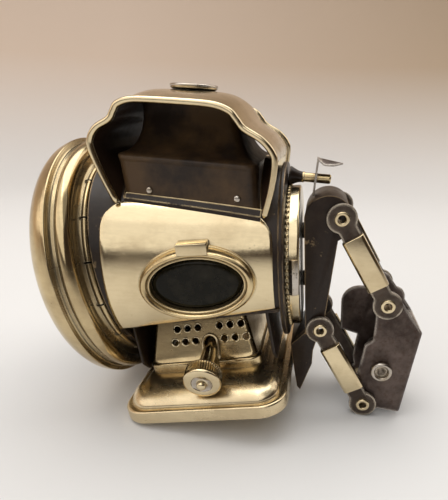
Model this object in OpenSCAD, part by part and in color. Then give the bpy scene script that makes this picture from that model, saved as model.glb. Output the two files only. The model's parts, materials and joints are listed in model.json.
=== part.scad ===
// Oil headlamp on a parallel-link bracket, for the front of an early motorcycle.
// Lamp coordinates: front is -X, rear is +X, up is +Z, the fount's flange rests on Z = 0.
// The whole lamp then stands as on a table: on its fount's toe and the lower eyes of its links.

/* [Front rim] */
// Radius of the sharp lip, the largest circle of the lamp
lip_r = 58; // [50:0.5:66]
// Height of the rim's centre above the fount's underside
axis_h = 66.5; // [64:0.5:72]
// Distance of the lip ahead of the lamp's middle
lip_x = 58.4; // [56:0.2:62]
// How far the domed bezel stands out in front of the lip
dome_depth = 12; // [8:0.5:16]
// Radius of the opening that shows the lens
window_r = 47; // [42:0.5:50]
// Thickness of the rim's brass
rim_wall = 1.2; // [0.8:0.1:1.6]
// Slits in the spring skirt of the rim
slit_count = 16; // [8:1:24]

/* [Barrel] */
// Radius of the barrel behind the front rim
barrel_front_r = 46.5; // [43:0.5:49]
// Radius of the barrel at the rear plate
barrel_rear_r = 38; // [34:0.5:40]
// Length of the tapered barrel
barrel_len = 74; // [68:0.5:80]
// Nose-up slope of the barrel's axis, in degrees
barrel_slope = 7; // [4:0.5:9]
// Thickness of the barrel's sheet
barrel_wall = 1.2; // [0.8:0.1:1.6]
// Thickness of the polished side panel
panel_t = 0.5; // [0.3:0.1:0.8]

/* [Side window] */
// Half length of the side bezel's oval
bezel_a = 24; // [20:0.5:26]
// Half height of the side bezel's oval
bezel_b = 16; // [13:0.5:18]
// Width of the bezel's rounded ring
bezel_w = 5.2; // [4:0.2:6.5]

/* [Hood] */
// Half width of the hood's flat top
hood_top_hw = 22.5; // [19:0.5:24]
// Half width of the hood at its widest
hood_hw = 36; // [34:0.5:39]
// Half width of the hood at its feet
hood_foot_hw = 30; // [28:0.5:32]
// Height of the hood's rim above its feet
hood_h = 41.5; // [38:0.5:46]
// Half depth of the hood, middle to rim
hood_hd = 34; // [32:0.5:36]
// Rise of the hood's top between its two rims
hood_crown = 5; // [2:0.5:7]
// Thickness of the hood's brass
hood_wall = 0.9; // [0.7:0.1:1.4]
// Radius of the wired edge
bead_r = 1.25; // [1:0.05:1.6]

/* [Fount] */
// Length of the fount's flange, front to rear
fount_len = 75.6; // [70:0.2:80]
// Width of the fount's flange, side to side
fount_w = 103; // [96:0.5:106]
// Height of the fount's flange
flange_h = 6; // [4:0.2:7]
// Height of the fount's shoulder, where the gallery sits
shoulder_h = 14; // [12:0.5:16]
// Height of the gallery's flat top
gallery_h = 40; // [36:0.5:41]
// Diameter of the gallery's air holes
air_d = 3.4; // [2.4:0.1:3.8]
// Drop of the winder's shaft below the level, in degrees
winder_drop = 16; // [12:1:20]
// Diameter of the winder's knob
knob_d = 16.4; // [13:0.2:18]

/* [Bracket] */
// Distance between a link's two pivots
link_len = 43.6; // [40:0.2:48]
// Angle of the links from the vertical at rest, in degrees
link_angle = 20.3; // [15:0.5:26]
// Radius of a link's round eye
eye_r = 6.3; // [5.5:0.1:7]
// Height between the upper and the lower pivots of the arm
pivot_h = 51.6; // [46:0.2:56]
// Rearward lean of the arm and socket, in degrees
bracket_lean = 16.8; // [12:0.2:20]
// Outside width of the arm's channel
arm_w = 29.2; // [26:0.2:32]
// Thickness of the arm's and socket's sheet
arm_t = 2; // [1.6:0.1:2.4]
// Thickness of a link's strip
link_t = 2; // [1.6:0.1:2.4]
// Outside radius of a hollow rivet's shank
rivet_r = 2.3; // [1.8:0.1:2.6]
// Diameter of the clamp bolt
bolt_d = 6; // [5:0.1:7]

/* [Hidden] */

$fn = 64;
gap = 0.3;          // between pieces of different bodies
fit = 0.05;         // between pieces of one body, and round a pin
near = -1;          // side of the lamp the winder is on
far = 1;

brass = "#c9a45c";
nickel = "#b9b4aa";
black = "#2a241f";
steel = "#5a5048";
glass = "#1d2a1c";

// Places in lamp coordinates
barrel_x0 = 12.9 - lip_x;
hood_at = [-3.5, axis_h + 19.1];
hood_lean = 15;
window_at = [-4.5, axis_h - 7];
floor_z = axis_h - 24;
fount_mid = -14;
flange_bevel = 0.6;
toe = [fount_mid - fount_len / 2 + flange_bevel, 0];
heel_x = fount_mid + fount_len / 2;

// The bracket stands off the rear of the barrel; h is a height above the barrel's axis
rear_plate_t = 2;
bead_ring_t = 1.5;
cap_depth = 4.2;
stud_len = 1.5;
arm_face = 10;
arm_z = barrel_len + rear_plate_t + bead_ring_t + cap_depth + stud_len + 2 * fit;
function barrel_point(z, h) = [barrel_x0 + z * cos(barrel_slope) + h * sin(barrel_slope),
    axis_h - z * sin(barrel_slope) + h * cos(barrel_slope)];
arm_head = barrel_point(arm_z, 15.2) + [arm_face, 0];
lean_up = [sin(bracket_lean), cos(bracket_lean)];
link_run = link_len * [sin(link_angle), -cos(link_angle)];
pivot_a = arm_head + [5.6, 0];
pivot_c = pivot_a - pivot_h * lean_up;
pivot_b = pivot_a + link_run;
pivot_d = pivot_c + link_run;
socket_web = 18;
web_top = 40;

// Outline of the rim's dome, each point a share of the way out and a share of the depth
function on_dome(out, deep) = [window_r + (lip_r - window_r) * out, -dome_depth * deep];
dome_line = smooth([on_dome(1, 0), on_dome(0.89, 0.383), on_dome(0.636, 0.717), on_dome(0.309, 0.933),
    on_dome(0, 1)], 5);

// Standing on a table: a line from the fount's toe just touches the lowest link eye
foot_reach = pivot_d - toe;
stance = atan2(-foot_reach[1], foot_reach[0]) + asin(eye_r / norm(foot_reach));
function stood_x(p) = cos(stance) * (p[0] - toe[0]) - sin(stance) * p[1];
front_reach = min([for (p = dome_line) stood_x([p[1] - lip_x, axis_h + p[0]])]);
rear_reach = stood_x(pivot_d + web_top * lean_up + socket_web * [lean_up[1], -lean_up[0]]);
module stand() translate([-(front_reach + rear_reach) / 2, 0, 0]) rotate([0, -stance, 0])
    translate([-toe[0], 0, 0]) children();

// Points of a smooth curve through the given points
function smooth(p, n = 4) = let (m = len(p) - 1) [for (i = [0:m - 1], k = [0:n - 1])
    let (a = p[max(i - 1, 0)], b = p[i], c = p[i + 1], d = p[min(i + 2, m)], t = k / n)
    b + t / 2 * ((c - a) + t * ((2 * a - 5 * b + 4 * c - d) + t * (3 * b - a - 3 * c + d))), p[m]];

// Points of a rectangle with round corners
function round_rect(hx, hy, r, n = 5) = [for (c = [0:3], k = [0:n])
    let (t = 90 * (c + k / n), sx = (c == 0 || c == 3) ? 1 : -1, sy = c < 2 ? 1 : -1)
    [sx * (hx - r) + r * cos(t), sy * (hy - r) + r * sin(t)]];

// Solid through a row of sections with the same number of points, each a list of [x, y, z].
// A looped row of sections closes on itself like a ring; a shell's sections run along its outside and
// back along its inside, so its ends are strips across the wall. The faces are turned to point outward.
function fan(face) = [for (k = [1:len(face) - 2]) [face[0], face[k], face[k + 1]]];
function turned(face) = [for (k = [len(face) - 1:-1:0]) face[k]];
module loft(rows, looped = false, shell = false) {
    n = len(rows[0]);
    m = len(rows);
    points = [for (row = rows) each row];
    walls = [for (j = [0:m - (looped ? 1 : 2)], i = [0:n - 1])
        let (k = (i + 1) % n, next = ((j + 1) % m) * n)
        each [[j * n + i, j * n + k, next + k], [j * n + i, next + k, next + i]]];
    strip = [for (i = [0:n / 2 - 2]) each [[i, i + 1, n - 2 - i], [i, n - 2 - i, n - 1 - i]]];
    end = shell ? strip : [[for (i = [0:n - 1]) i]];
    ends = looped ? [] : [for (f = end) each [turned(f), [for (i = f) (m - 1) * n + i]]];
    faces = concat(ends, walls);
    triangles = concat([for (f = ends) each fan(f)], walls);
    volumes = [for (f = triangles) points[f[0]] * cross(points[f[1]], points[f[2]])];
    outward = volumes * [for (f = triangles) 1] > 0;
    polyhedron(points, outward ? [for (f = faces) turned(f)] : faces, convexity = 6);
}

// Shell of round rectangles, each [half x, half y, corner radius, z], that closes on itself
module ring_of(s, n = 5) loft([for (r = s) [for (p = round_rect(r[0], r[1], r[2], n)) [p[0], p[1], r[3]]]],
    looped = true);

// Round tube along a list of points in one plane across the given side direction
module tube(path, r, side, sides = 8) {
    m = len(path) - 1;
    loft([for (i = [0:m]) let (
        along = path[min(i + 1, m)] - path[max(i - 1, 0)],
        out = cross(along / norm(along), side))
        [for (k = [0:sides - 1]) path[i] + r * (cos(360 * k / sides) * out + sin(360 * k / sides) * side)]]);
}

module on_side(side) if (side == near) children(); else mirror([0, 1, 0]) children();
module in_barrel() translate([barrel_x0, 0, axis_h]) rotate([0, 90 + barrel_slope, 0]) children();
module in_rim() translate([-lip_x, 0, axis_h]) rotate([0, 90, 0]) children();
module in_hood() translate([hood_at[0], 0, hood_at[1]]) rotate([0, hood_lean, 0]) children();
module at_pivot(p) translate([p[0], 0, p[1]]) rotate([90, 0, 0]) children();
module across(w) rotate([90, 0, 0]) linear_extrude(w, center = true) children();

// Barrel

taper = (barrel_front_r - barrel_rear_r) / barrel_len;
flank_tilt = atan(taper);
function barrel_r(z) = barrel_front_r - taper * z;
module barrel_solid(grow = 0, from = 0, to = barrel_len) in_barrel() translate([0, 0, from])
    cylinder(h = to - from, r1 = barrel_r(from) + grow, r2 = barrel_r(to) + grow, $fn = 96);
module below_floor(z) translate([-100, -100, z - 200]) cube(200);
module ahead(x) translate([x - 200, -100, -50]) cube(200);

// A spigot for the rim runs forward from a step just behind the rim's skirt
skirt_z = 13.2;
spigot_z = 2;
spigot_r = barrel_front_r - 0.6;
step_x = skirt_z - lip_x + gap;
step_t = 1.5;
spigot_len = skirt_z + gap + step_t - spigot_z;
module barrel() color(black) difference() {
    union() {
        difference() {
            barrel_solid(from = -8);
            below_floor(floor_z);
            ahead(step_x);
        }
        in_rim() translate([0, 0, spigot_z]) cylinder(h = spigot_len, r = spigot_r, $fn = 96);
    }
    difference() {
        barrel_solid(grow = -barrel_wall, from = -8, to = barrel_len + 1);
        ahead(step_x + step_t);
    }
    in_rim() translate([0, 0, spigot_z - 1]) cylinder(h = spigot_len + 2, r = spigot_r - barrel_wall, $fn = 96);
    flue_hole();
    for (s = [near, far]) on_side(s) window_hole();
}

panel_z0 = 3;
panel_z1 = barrel_len - 2;
panel_corner = 9;
panel_top = 31;
module side_panel(side) color(brass) on_side(side) difference() {
    intersection() {
        barrel_solid(grow = panel_t + fit, from = panel_z0, to = panel_z1);
        panel_cutter();
    }
    barrel_solid(grow = fit, from = panel_z0 - 1, to = panel_z1 + 1);
    below_floor(floor_z);
    ahead(step_x);
    flue_hole();
    window_hole();
}
module panel_cutter() translate([barrel_x0, 0, axis_h]) rotate([0, barrel_slope, 0])
    rotate([90, 0, 0]) linear_extrude(lip_r) hull() {
        for (x = [panel_z0 + panel_corner, panel_z1 - panel_corner])
            translate([x, panel_top - panel_corner]) circle(panel_corner, $fn = 32);
        translate([panel_z0, -axis_h]) square([panel_z1 - panel_z0, 1]);
    }

// Side windows, in a plane that touches the barrel's flank; x runs rearward, y up, z outward

from_axis = window_at - [barrel_x0, axis_h];
window_v = from_axis * [sin(barrel_slope), cos(barrel_slope)];
flank_r = barrel_r(from_axis * [cos(barrel_slope), -sin(barrel_slope)]);
module at_window() translate([window_at[0], 0, window_at[1]]) rotate([90, 0, 0]) rotate([0, 0, -barrel_slope])
    translate([0, 0, flank_r]) rotate([0, flank_tilt, 0]) children();
hole_inset = 2.5;
module window_hole() at_window() translate([0, 0, -25]) linear_extrude(40)
    polygon([for (k = [0:47]) [(bezel_a - hole_inset) * cos(7.5 * k), (bezel_b - hole_inset) * sin(7.5 * k)]]);

// How far the round flank falls away from that plane
function sag(x, y) = let (r = flank_r - taper * x, v = y + window_v)
    (sqrt(r * r - v * v) - r) * cos(flank_tilt);

bezel_t = 4.2;
bezel_z = panel_t + 2 * fit;
bezel_lip = 1.2;
bezel_deep = 7;
// Section of the bezel, each [inset, height, share of the sag]: a half round with a collar into the barrel
bezel_section = concat(
    [for (k = [0:6]) let (t = 30 * k) [bezel_w / 2 * (1 - cos(t)), bezel_t * sin(t), max(0, cos(t))]],
    [[bezel_w, -bezel_deep, 0], [bezel_w - bezel_lip, -bezel_deep, 0], [bezel_w - bezel_lip, 0, 0]]);
module side_bezel(side) color(brass) on_side(side) at_window() loft([for (j = [0:47]) [for (q = bezel_section)
    let (x = (bezel_a - q[0]) * cos(7.5 * j), y = (bezel_b - q[0]) * sin(7.5 * j))
    [x, y, bezel_z + q[1] + q[2] * sag(x, y)]]], looped = true);
clip_w = 12;
clip_h = 4.6;
clip_t = 1.2;
clip_leg = 1.6;
module window_clips() color(brass) for (s = [near, far]) on_side(s) at_window() {
    translate([-clip_w / 2, bezel_b - bezel_w / 2, bezel_z + bezel_t + fit]) cube([clip_w, clip_h, clip_t]);
    translate([-clip_w / 2, bezel_b + 2 * fit, -clip_leg])
        cube([clip_w, clip_h - bezel_w / 2 - 2 * fit, clip_leg + bezel_z + bezel_t + clip_t]);
}
glass_t = 2.2;
glass_a = bezel_a - bezel_w - 3 * fit;
glass_b = bezel_b - bezel_w - 3 * fit;
module side_glass(side) color(glass) on_side(side) at_window()
    loft([for (k = [0:5]) let (s = 1 - pow(k / 5, 2) * 0.25, z = bezel_z - 1.5 + glass_t * k / 5)
        [for (j = [0:47]) [s * glass_a * cos(7.5 * j), s * glass_b * sin(7.5 * j), z]]]);

// Front rim, turned about the lamp's own axis; z runs from the lip to the rear

skirt_r = spigot_r + fit;
rim_bead_r = 3.4;
rim_bead_at = [lip_r - 5.2, 6.2];
module rim_outline() polygon(concat(dome_line, [[window_r, rim_wall - dome_depth], on_dome(0.18, 0.85),
    on_dome(0.236, 0.717), on_dome(0.545, 0.583), on_dome(0.727, 0.167), [lip_r - 4.4, 0.8], [skirt_r, 3.4],
    [skirt_r, skirt_z], [skirt_r + 1, skirt_z], [skirt_r + 1, rim_bead_at[1] + rim_bead_r],
    rim_bead_at + [-1.2, rim_bead_r - 0.2], rim_bead_at, [lip_r - 3.4, 3], [lip_r - 2.6, 2.2],
    [lip_r - 1.6, 2], [lip_r - 0.4, 1.1]]));
module front_rim() color(brass) in_rim() difference() {
    union() {
        rotate_extrude($fn = 128) rim_outline();
        rotate_extrude($fn = 128) translate(rim_bead_at) circle(rim_bead_r, $fn = 40);
        rotate_extrude($fn = 128) translate([skirt_r + 0.9, skirt_z - 1.1]) circle(1.1, $fn = 24);
    }
    translate([0, 0, -dome_depth - 1]) cylinder(h = 40, r = skirt_r, $fn = 128);
    for (k = [0:slit_count - 1]) rotate(360 * (k + 0.5) / slit_count)
        translate([skirt_r - 2, -0.4, skirt_z - 3]) cube([6, 0.8, 6]);
}

lens_edge = window_r + 1.4;
lens_z = rim_wall - dome_depth + 0.6 + fit;
lens_t = 5;
lens_bulge = 6;
module front_lens() color(glass) in_rim() rotate_extrude($fn = 96) polygon(concat(
    [[0, lens_z + lens_t], [lens_edge, lens_z + lens_t], [lens_edge, lens_z]],
    [for (k = [0:12]) let (t = 90 * k / 12) [(window_r - 1) * cos(t), lens_z - lens_bulge * sin(t)]]));
module lens_retaining_ring() color(brass) in_rim() rotate_extrude($fn = 96)
    translate([window_r - 2, lens_z + lens_t + fit]) square([on_dome(0.58, 0)[0] - window_r + 2, 1.4]);

// Reflector, a dish behind the flame that stands on the rear plate

reflector_r = 30;
reflector_f = 15;
reflector_t = 1;
module reflector() color(nickel) difference() {
    at_rear(-fit) rotate_extrude($fn = 96) polygon([for (side = [0, 1], k = [0:12])
        let (r = reflector_r * (side ? 12 - k : k) / 12) [r, -side * reflector_t - r * r / (4 * reflector_f)]]);
    below_floor(floor_z + gap);
}

// Chimney and hood; p runs rearward, y across, z up from the hood's feet

hood_rake = 0.2;
chimney_t = 1;
chimney_hx = hood_foot_hw - 2;
chimney_hy = hood_hd - 2.5;
chimney_z = 1.2;
crease_h = 21;
flue_top_hx = 20;
flue_top_hy = 15;
flue_h = hood_h - 3;
saddle_t = 1;
saddle_w = 2;
// Two strips bent over the barrel's flanks, along the chimney's foot
module chimney_saddle() color(black) difference() {
    intersection() {
        barrel_solid(grow = panel_t + 2 * fit + saddle_t);
        for (s = [near, far]) on_side(s) in_hood() translate([-chimney_hx, -chimney_hy - fit - saddle_w, -6])
            cube([2 * chimney_hx, saddle_w, 20]);
    }
    barrel_solid(grow = panel_t + 2 * fit, from = -8, to = barrel_len + 8);
}
// Hole in the barrel's top, and in its panels, that takes the raked chimney
module flue_hole() in_hood() across(2 * (chimney_hy + fit)) polygon([for (c = [[-1, -1], [1, -1], [1, hood_h],
    [-1, hood_h]]) [c[0] * (chimney_hx + fit) - hood_rake * c[1], c[1]]]);

// The chimney's walls stand straight to a crease, then draw in to the flue
function chimney_rows(i) = [[chimney_hx - i, chimney_hy - i, 4, chimney_z],
    [chimney_hx - i, chimney_hy - i, 4, crease_h], for (k = [1:5]) let (s = sin(18 * k))
    [chimney_hx - i - (chimney_hx - flue_top_hx) * s, chimney_hy - i - (chimney_hy - flue_top_hy) * s, 4,
        crease_h + (flue_h - crease_h) * (1 - cos(18 * k))]];
chimney_skin = concat(chimney_rows(0), turned(chimney_rows(chimney_t)));
module inner_chimney() color(black) in_hood() loft([for (r = chimney_skin)
    [for (p = round_rect(r[0], r[1], r[2])) raked([p[0], p[1], r[3]])]], looped = true);
rivet_x = [-18, 18];
rivet_up = 8;
module chimney_rivets() color(nickel) for (s = [near, far], x = rivet_x) on_side(s)
    in_hood() translate([x, -chimney_hy - fit, rivet_up]) rotate([90, 0, 0])
        rotate_extrude($fn = 24) polygon([[0, 0], [1.5, 0], [1.3, 0.5], [0.8, 0.9], [0, 1]]);

// Half of the hood's outline, from the middle of its top to its foot
hood_half = smooth([[0, hood_h], [hood_top_hw - 8, hood_h - 0.3], [hood_top_hw - 1.5, hood_h - 2],
    [hood_top_hw + 1, hood_h - 4.6], [hood_top_hw + 3.4, hood_h - 7.6], [hood_hw - 4, hood_h - 11],
    [hood_hw - 0.6, hood_h - 15], [hood_hw, hood_h - 19], [hood_hw - 2.2, 12], [hood_foot_hw, 0]], 3);
hood_n = len(hood_half) - 1;
hood_line = [for (i = [hood_n:-1:1]) [-hood_half[i][0], hood_half[i][1]], each hood_half];
// The hood's upright leans forward of its own square
function raked(p) = [p[0] - hood_rake * p[2], p[1], p[2]];
// Feet rise with the barrel's flank between the two rims
function flank(r, y) = sqrt(r * r - y * y) - sqrt(r * r - hood_hd * hood_hd);
hood_waist = 22;
hood_lift = 2.6;
function crowned(p, y) = let (
    w = max(0, (p[1] - hood_h * 0.4) / (hood_h * 0.6)),
    top = hood_crown * w * w * (1 - pow(y / hood_hd, 2)),
    foot = flank(p[0] < 0 ? barrel_front_r : barrel_rear_r + 1, y) + hood_lift,
    z = p[1] < hood_waist ? foot + (hood_waist - foot) * p[1] / hood_waist : p[1] + top)
    raked([p[0], y, z]);
function inward(line, i, t) = let (m = len(line) - 1,
    d = line[min(i + 1, m)] - line[max(i - 1, 0)]) line[i] + t * [d[1], -d[0]] / norm(d);
hood_steps = 8;
hood_skin = concat(hood_line, [for (i = [2 * hood_n:-1:0]) inward(hood_line, i, hood_wall)]);
module hood() color(brass) in_hood() loft([for (k = [0:hood_steps])
    let (y = hood_hd * (2 * k / hood_steps - 1)) [for (p = hood_skin) crowned(p, y)]], shell = true);
module hood_wired_edges() color(brass) in_hood() for (s = [near, far])
    tube([for (p = hood_line) let (q = crowned(p, hood_hd)) [q[0], s * (hood_hd + bead_r + fit), q[2]]],
        bead_r, [0, 1, 0]);

disc_r = 10.4;
disc_z = hood_h + hood_crown;
module hood_top_disc() color(nickel) in_hood() translate([-hood_rake * disc_z, 0, disc_z + fit])
    rotate_extrude($fn = 64) polygon([[0, 0], [disc_r - 1.2, 0], [disc_r, 0.9], [disc_r, 1.6],
        [disc_r - 0.9, 2.1], [disc_r - 2, 1.9], [0, 2.6]]);

// The tail rod's root stands on the back of the rear plate
rod_r = 2;
rod_z = 14.6;
rod_tilt = hood_lean - barrel_slope;
hood_from = (hood_at[0] - barrel_x0) * cos(barrel_slope) - (hood_at[1] - axis_h) * sin(barrel_slope);
rod_p0 = (barrel_len + rear_plate_t + fit - hood_from - rod_z * sin(rod_tilt)) / cos(rod_tilt);
rod_len = 18.5;
module hood_tail_rod() color(brass) in_hood() translate([rod_p0, 0, rod_z]) rotate([0, 90, 0])
    rotate_extrude($fn = 48) polygon([[0, 0], [1.2, 0.25], [2.8, 0.7], [2.8, 1.6], [rod_r, 4],
        [rod_r, rod_len - 0.6], [rod_r - 0.6, rod_len], [0, rod_len]]);

// Rear of the barrel; z runs rearward from the barrel's end

module at_rear(z) in_barrel() translate([0, 0, barrel_len + z]) children();
plug_r = barrel_rear_r - barrel_wall - fit;
plug_len = 3;
plate_r = barrel_rear_r + 1.6;
module rear_plate() color(black) {
    at_rear(0) cylinder(h = rear_plate_t, r = plate_r, $fn = 96);
    difference() {
        at_rear(-plug_len) cylinder(h = plug_len + 0.5, r = plug_r, $fn = 96);
        at_rear(-plug_len - 1) cylinder(h = plug_len + 1, r = plug_r - barrel_wall, $fn = 96);
        below_floor(floor_z + fit);
    }
}
// The cap sits low, so that the tail rod passes over it
cap_r = 32;
cap_low = 2.8;
module at_cap(z) at_rear(rear_plate_t + z) translate([cap_low, 0, 0]) children();
beads = 72;
bead_round = 0.9;
module beaded_ring() color(brass) at_cap(0) difference() {
    union() {
        cylinder(h = bead_ring_t, r = cap_r, $fn = 96);
        for (k = [0:beads - 1]) rotate(360 * k / beads) translate([cap_r, 0, 0])
            cylinder(h = bead_ring_t, r = bead_round, $fn = 16);
    }
    translate([0, 0, -1]) cylinder(h = bead_ring_t + 2, r = cap_r - 3, $fn = 96);
}
cap_wall = 1.2;
module rear_cap() color(brass) at_cap(bead_ring_t) difference() {
    rotate_extrude($fn = 96) polygon([[0, 0], [cap_r, 0], [cap_r, cap_depth - cap_wall],
        [cap_r - cap_wall, cap_depth], [0, cap_depth]]);
    translate([0, 0, -1]) cylinder(h = cap_depth - cap_wall + 1, r = cap_r - cap_wall, $fn = 96);
}
clip_len = 15;
clip_rise = cap_depth / 2 - 2 * fit;
module rear_clip() color(nickel) at_cap(bead_ring_t + cap_depth / 2) rotate([0, 0, -90])
    translate([cap_r + fit, 0, 0]) rotate([90, 0, 0]) linear_extrude(clip_len, center = true)
        polygon([[0, -clip_rise], [0.7, -clip_rise], [1.7, -0.6], [1.7, 0.6], [0.7, clip_rise],
            [0, clip_rise]]);

// Lower housing under the barrel, open at both sides for the gallery

housing_front = step_x + 1.7;
housing_rear = barrel_point(barrel_len, -plate_r)[0] - 2.6;
housing_hy = 33;
housing_z = 15.5;
housing_t = 1.4;
well_hx = 26;
well_hy = 24;
roof_z = floor_z - fit;
roof_hy = 36;
roof_h = (floor_z - axis_h) / cos(barrel_slope) + barrel_len * tan(barrel_slope);
roof_rear = barrel_point(barrel_len, roof_h)[0] - 0.4;
module end_plate() difference() {
    translate([-housing_hy, housing_z]) square([2 * housing_hy, roof_z - housing_z]);
    for (s = [-1, 1]) translate([s * housing_hy, housing_z]) rotate(45) square(7, center = true);
}
module lower_housing() color(black) {
    difference() {
        translate([housing_front, -roof_hy, roof_z - housing_t])
            cube([roof_rear - housing_front, 2 * roof_hy, housing_t]);
        translate([fount_mid - well_hx, -well_hy, 0]) cube([2 * well_hx, 2 * well_hy, axis_h]);
    }
    for (x = [housing_front, housing_rear - housing_t])
        translate([x, 0, 0]) rotate([90, 0, 90]) linear_extrude(housing_t) end_plate();
}

// Fount, dropped straight down out of the housing; its tank is open to the burner and shut by a base plate

fount_r = 12;
pan_h = 1.5;
pan_inset = 8;
tank_t = 1.2;
fount_hx = fount_len / 2;
fount_hy = fount_w / 2;
neck_hx = fount_hx - 3;
neck_hy = fount_hy - 3;
neck_z = flange_h + 0.8;
seat_hx = 27;
seat_hy = 31.5;
wick_x = 2.6;
wick_y = 14.6;
mouth_hx = wick_x / 2 + 0.4;
mouth_hy = wick_y / 2 + 0.5;
module fount_tank() color(brass) translate([fount_mid, 0, 0]) ring_of(concat(
    [[fount_hx - flange_bevel, fount_hy - flange_bevel, fount_r, 0],
     [fount_hx, fount_hy, fount_r, flange_bevel], [fount_hx, fount_hy, fount_r, flange_h - 0.8],
     [fount_hx - 0.8, fount_hy - 0.8, fount_r, flange_h], [neck_hx, neck_hy, fount_r - 2, flange_h]],
    [for (k = [0:6]) let (t = k / 6, s = t * t * (3 - 2 * t) * 0.45 + t * 0.55)
        [neck_hx - (neck_hx - seat_hx) * s, neck_hy - (neck_hy - seat_hy) * s, fount_r - 2 - 4 * t,
            neck_z + (shoulder_h - neck_z) * (1 - pow(1 - t, 1.6))]],
    [[mouth_hx, mouth_hy, 0.4, shoulder_h], [mouth_hx, mouth_hy, 0.4, shoulder_h - tank_t],
     [seat_hx - 3, seat_hy - 3, 4, shoulder_h - tank_t],
     [fount_hx - pan_inset - 2, fount_hy - pan_inset - 2, 6, 0]]));
module fount_base_plate() color(brass) translate([fount_mid, 0, -pan_h - fit]) linear_extrude(pan_h)
    polygon(round_rect(fount_hx - pan_inset, fount_hy - pan_inset, fount_r - 4));

tube_x = 7;
tube_y = 18;
tube_top = 52;
gallery_t = 0.9;
gal_z = shoulder_h + 5.4;
gal_hx = 25.6;
gal_hy = 29.6;
gal_top_hx = 21.5;
gal_top_hy = 22;
function gal_rows(i) = [[seat_hx - i, seat_hy - i, 6, shoulder_h + fit],
    [seat_hx - i, seat_hy - i, 6, gal_z - 1.6],
    [gal_hx - i, gal_hy - i, 6, gal_z - i / 2], [gal_top_hx - i, gal_top_hy - i, 5, gallery_h - i],
    [tube_x / 2 + fit, tube_y / 2 + fit, 0.4, gallery_h - i]];
// A place on the gallery's sloping side, t of the way up: [half width, height]
function gal_face(t) = [gal_hy + (gal_top_hy - gal_hy) * t, gal_z + (gallery_h - gal_z) * t];
gal_slope = atan2(gal_hy - gal_top_hy, gallery_h - gal_z);
winder_x = -9.5;
slot_w = 7;
slot_arch = 26;
air_rows = [[0.62, 5.6], [0.36, 6.3]];
module burner_gallery() color(brass) difference() {
    translate([fount_mid, 0, 0]) ring_of(concat(gal_rows(0), turned(gal_rows(gallery_t))), 3);
    for (s = [near, far], row = air_rows, k = [-1, 1], j = [0:2]) on_side(s)
        translate([winder_x + k * (row[1] + j * 6), -gal_face(row[0])[0], gal_face(row[0])[1]])
            rotate([90 + gal_slope, 0, 0]) cylinder(h = 6, d = air_d, center = true, $fn = 24);
    translate([winder_x - slot_w / 2, -40, shoulder_h - 2]) cube([slot_w, 30, slot_arch - shoulder_h + 2]);
    translate([winder_x, -10, slot_arch]) rotate([90, 0, 0]) cylinder(h = 30, d = slot_w);
}

// Winder: shaft, knob and spur wheel on one sloping axis

knob_y = -50.6;
knob_z = 18.2;
shaft_r = 1.6;
shaft_len = (-knob_y - 2) / cos(winder_drop);
wheel_t = 2.4;
wheel_from = shaft_len - 4.6;
wheel_z = knob_z + (wheel_from + wheel_t / 2) * sin(winder_drop);
wheel_r = winder_x - fount_mid - wick_x / 2 - gap;
teeth = 10;
knob_t = 7;
knob_r = knob_d / 2;
knurls = 48;
module in_winder() translate([winder_x, knob_y, knob_z]) rotate([winder_drop - 90, 0, 0]) children();
module winder_shaft() color(brass) in_winder() translate([0, 0, 1 + fit]) cylinder(h = shaft_len, r = shaft_r);
module winder_knob() color(brass) in_winder() difference() {
    rotate_extrude($fn = 96) polygon([[0, -2.4], [1.2, -2.3], [2.2, -1.8], [2.6, -1], [2.8, -0.3],
        [knob_r - 1.6, -0.3], [knob_r - 1.2, 0], [knob_r - 0.5, 0], [knob_r, 0.6], [knob_r, knob_t - 0.8],
        [knob_r - 0.8, knob_t], [4, knob_t], [3.1, knob_t + 13], [0, knob_t + 13]]);
    translate([0, 0, 1]) cylinder(h = knob_t + 13, r = shaft_r + fit / 5);
    for (k = [0:knurls - 1]) rotate(360 * k / knurls) translate([knob_r + 0.25, 0, 1])
        cylinder(h = knob_t - 2, r = 0.6, $fn = 6);
}
module wick_wheel() color(brass) in_winder() translate([0, 0, wheel_from]) difference() {
    linear_extrude(wheel_t) polygon([for (k = [0:2 * teeth - 1]) let (r = k % 2 ? wheel_r - 0.7 : wheel_r)
        r * [cos(180 * k / teeth), sin(180 * k / teeth)]]);
    translate([0, 0, -1]) cylinder(h = wheel_t + 2, r = shaft_r + fit / 5);
}

wick_low = 4.5;
module wick_tube() color(brass) translate([fount_mid, 0, 0]) difference() {
    translate([-tube_x / 2, -tube_y / 2, shoulder_h + fit]) cube([tube_x, tube_y, tube_top - shoulder_h - fit]);
    translate([-mouth_hx, -mouth_hy, 0]) cube([2 * mouth_hx, 2 * mouth_hy, 60]);
    translate([wick_x / 2, -tube_y, wheel_z - 5]) cube([tube_x, tube_y, 10]);
}
module wick() color("#d8cfb8") translate([fount_mid - wick_x / 2, -wick_y / 2, wick_low])
    cube([wick_x, wick_y, tube_top + 2.4 - wick_low]);

// Spring catch that holds the fount up

catch_w = 10;
catch_t = 0.9;
catch_r = 1.4;
catch_h = 4.2;
catch_low = 1.6;
module fount_catch() color(nickel)
    translate([housing_front - catch_t - gap, -catch_w / 2, housing_z - catch_low]) {
        cube([catch_t, catch_w, catch_h]);
        translate([-catch_r / 2, 0, 0]) rotate([-90, 0, 0]) cylinder(h = catch_w, r = catch_r);
    }

// Bracket arm: a channel with two boomerang cheeks, its back edge square to the barrel

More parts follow.
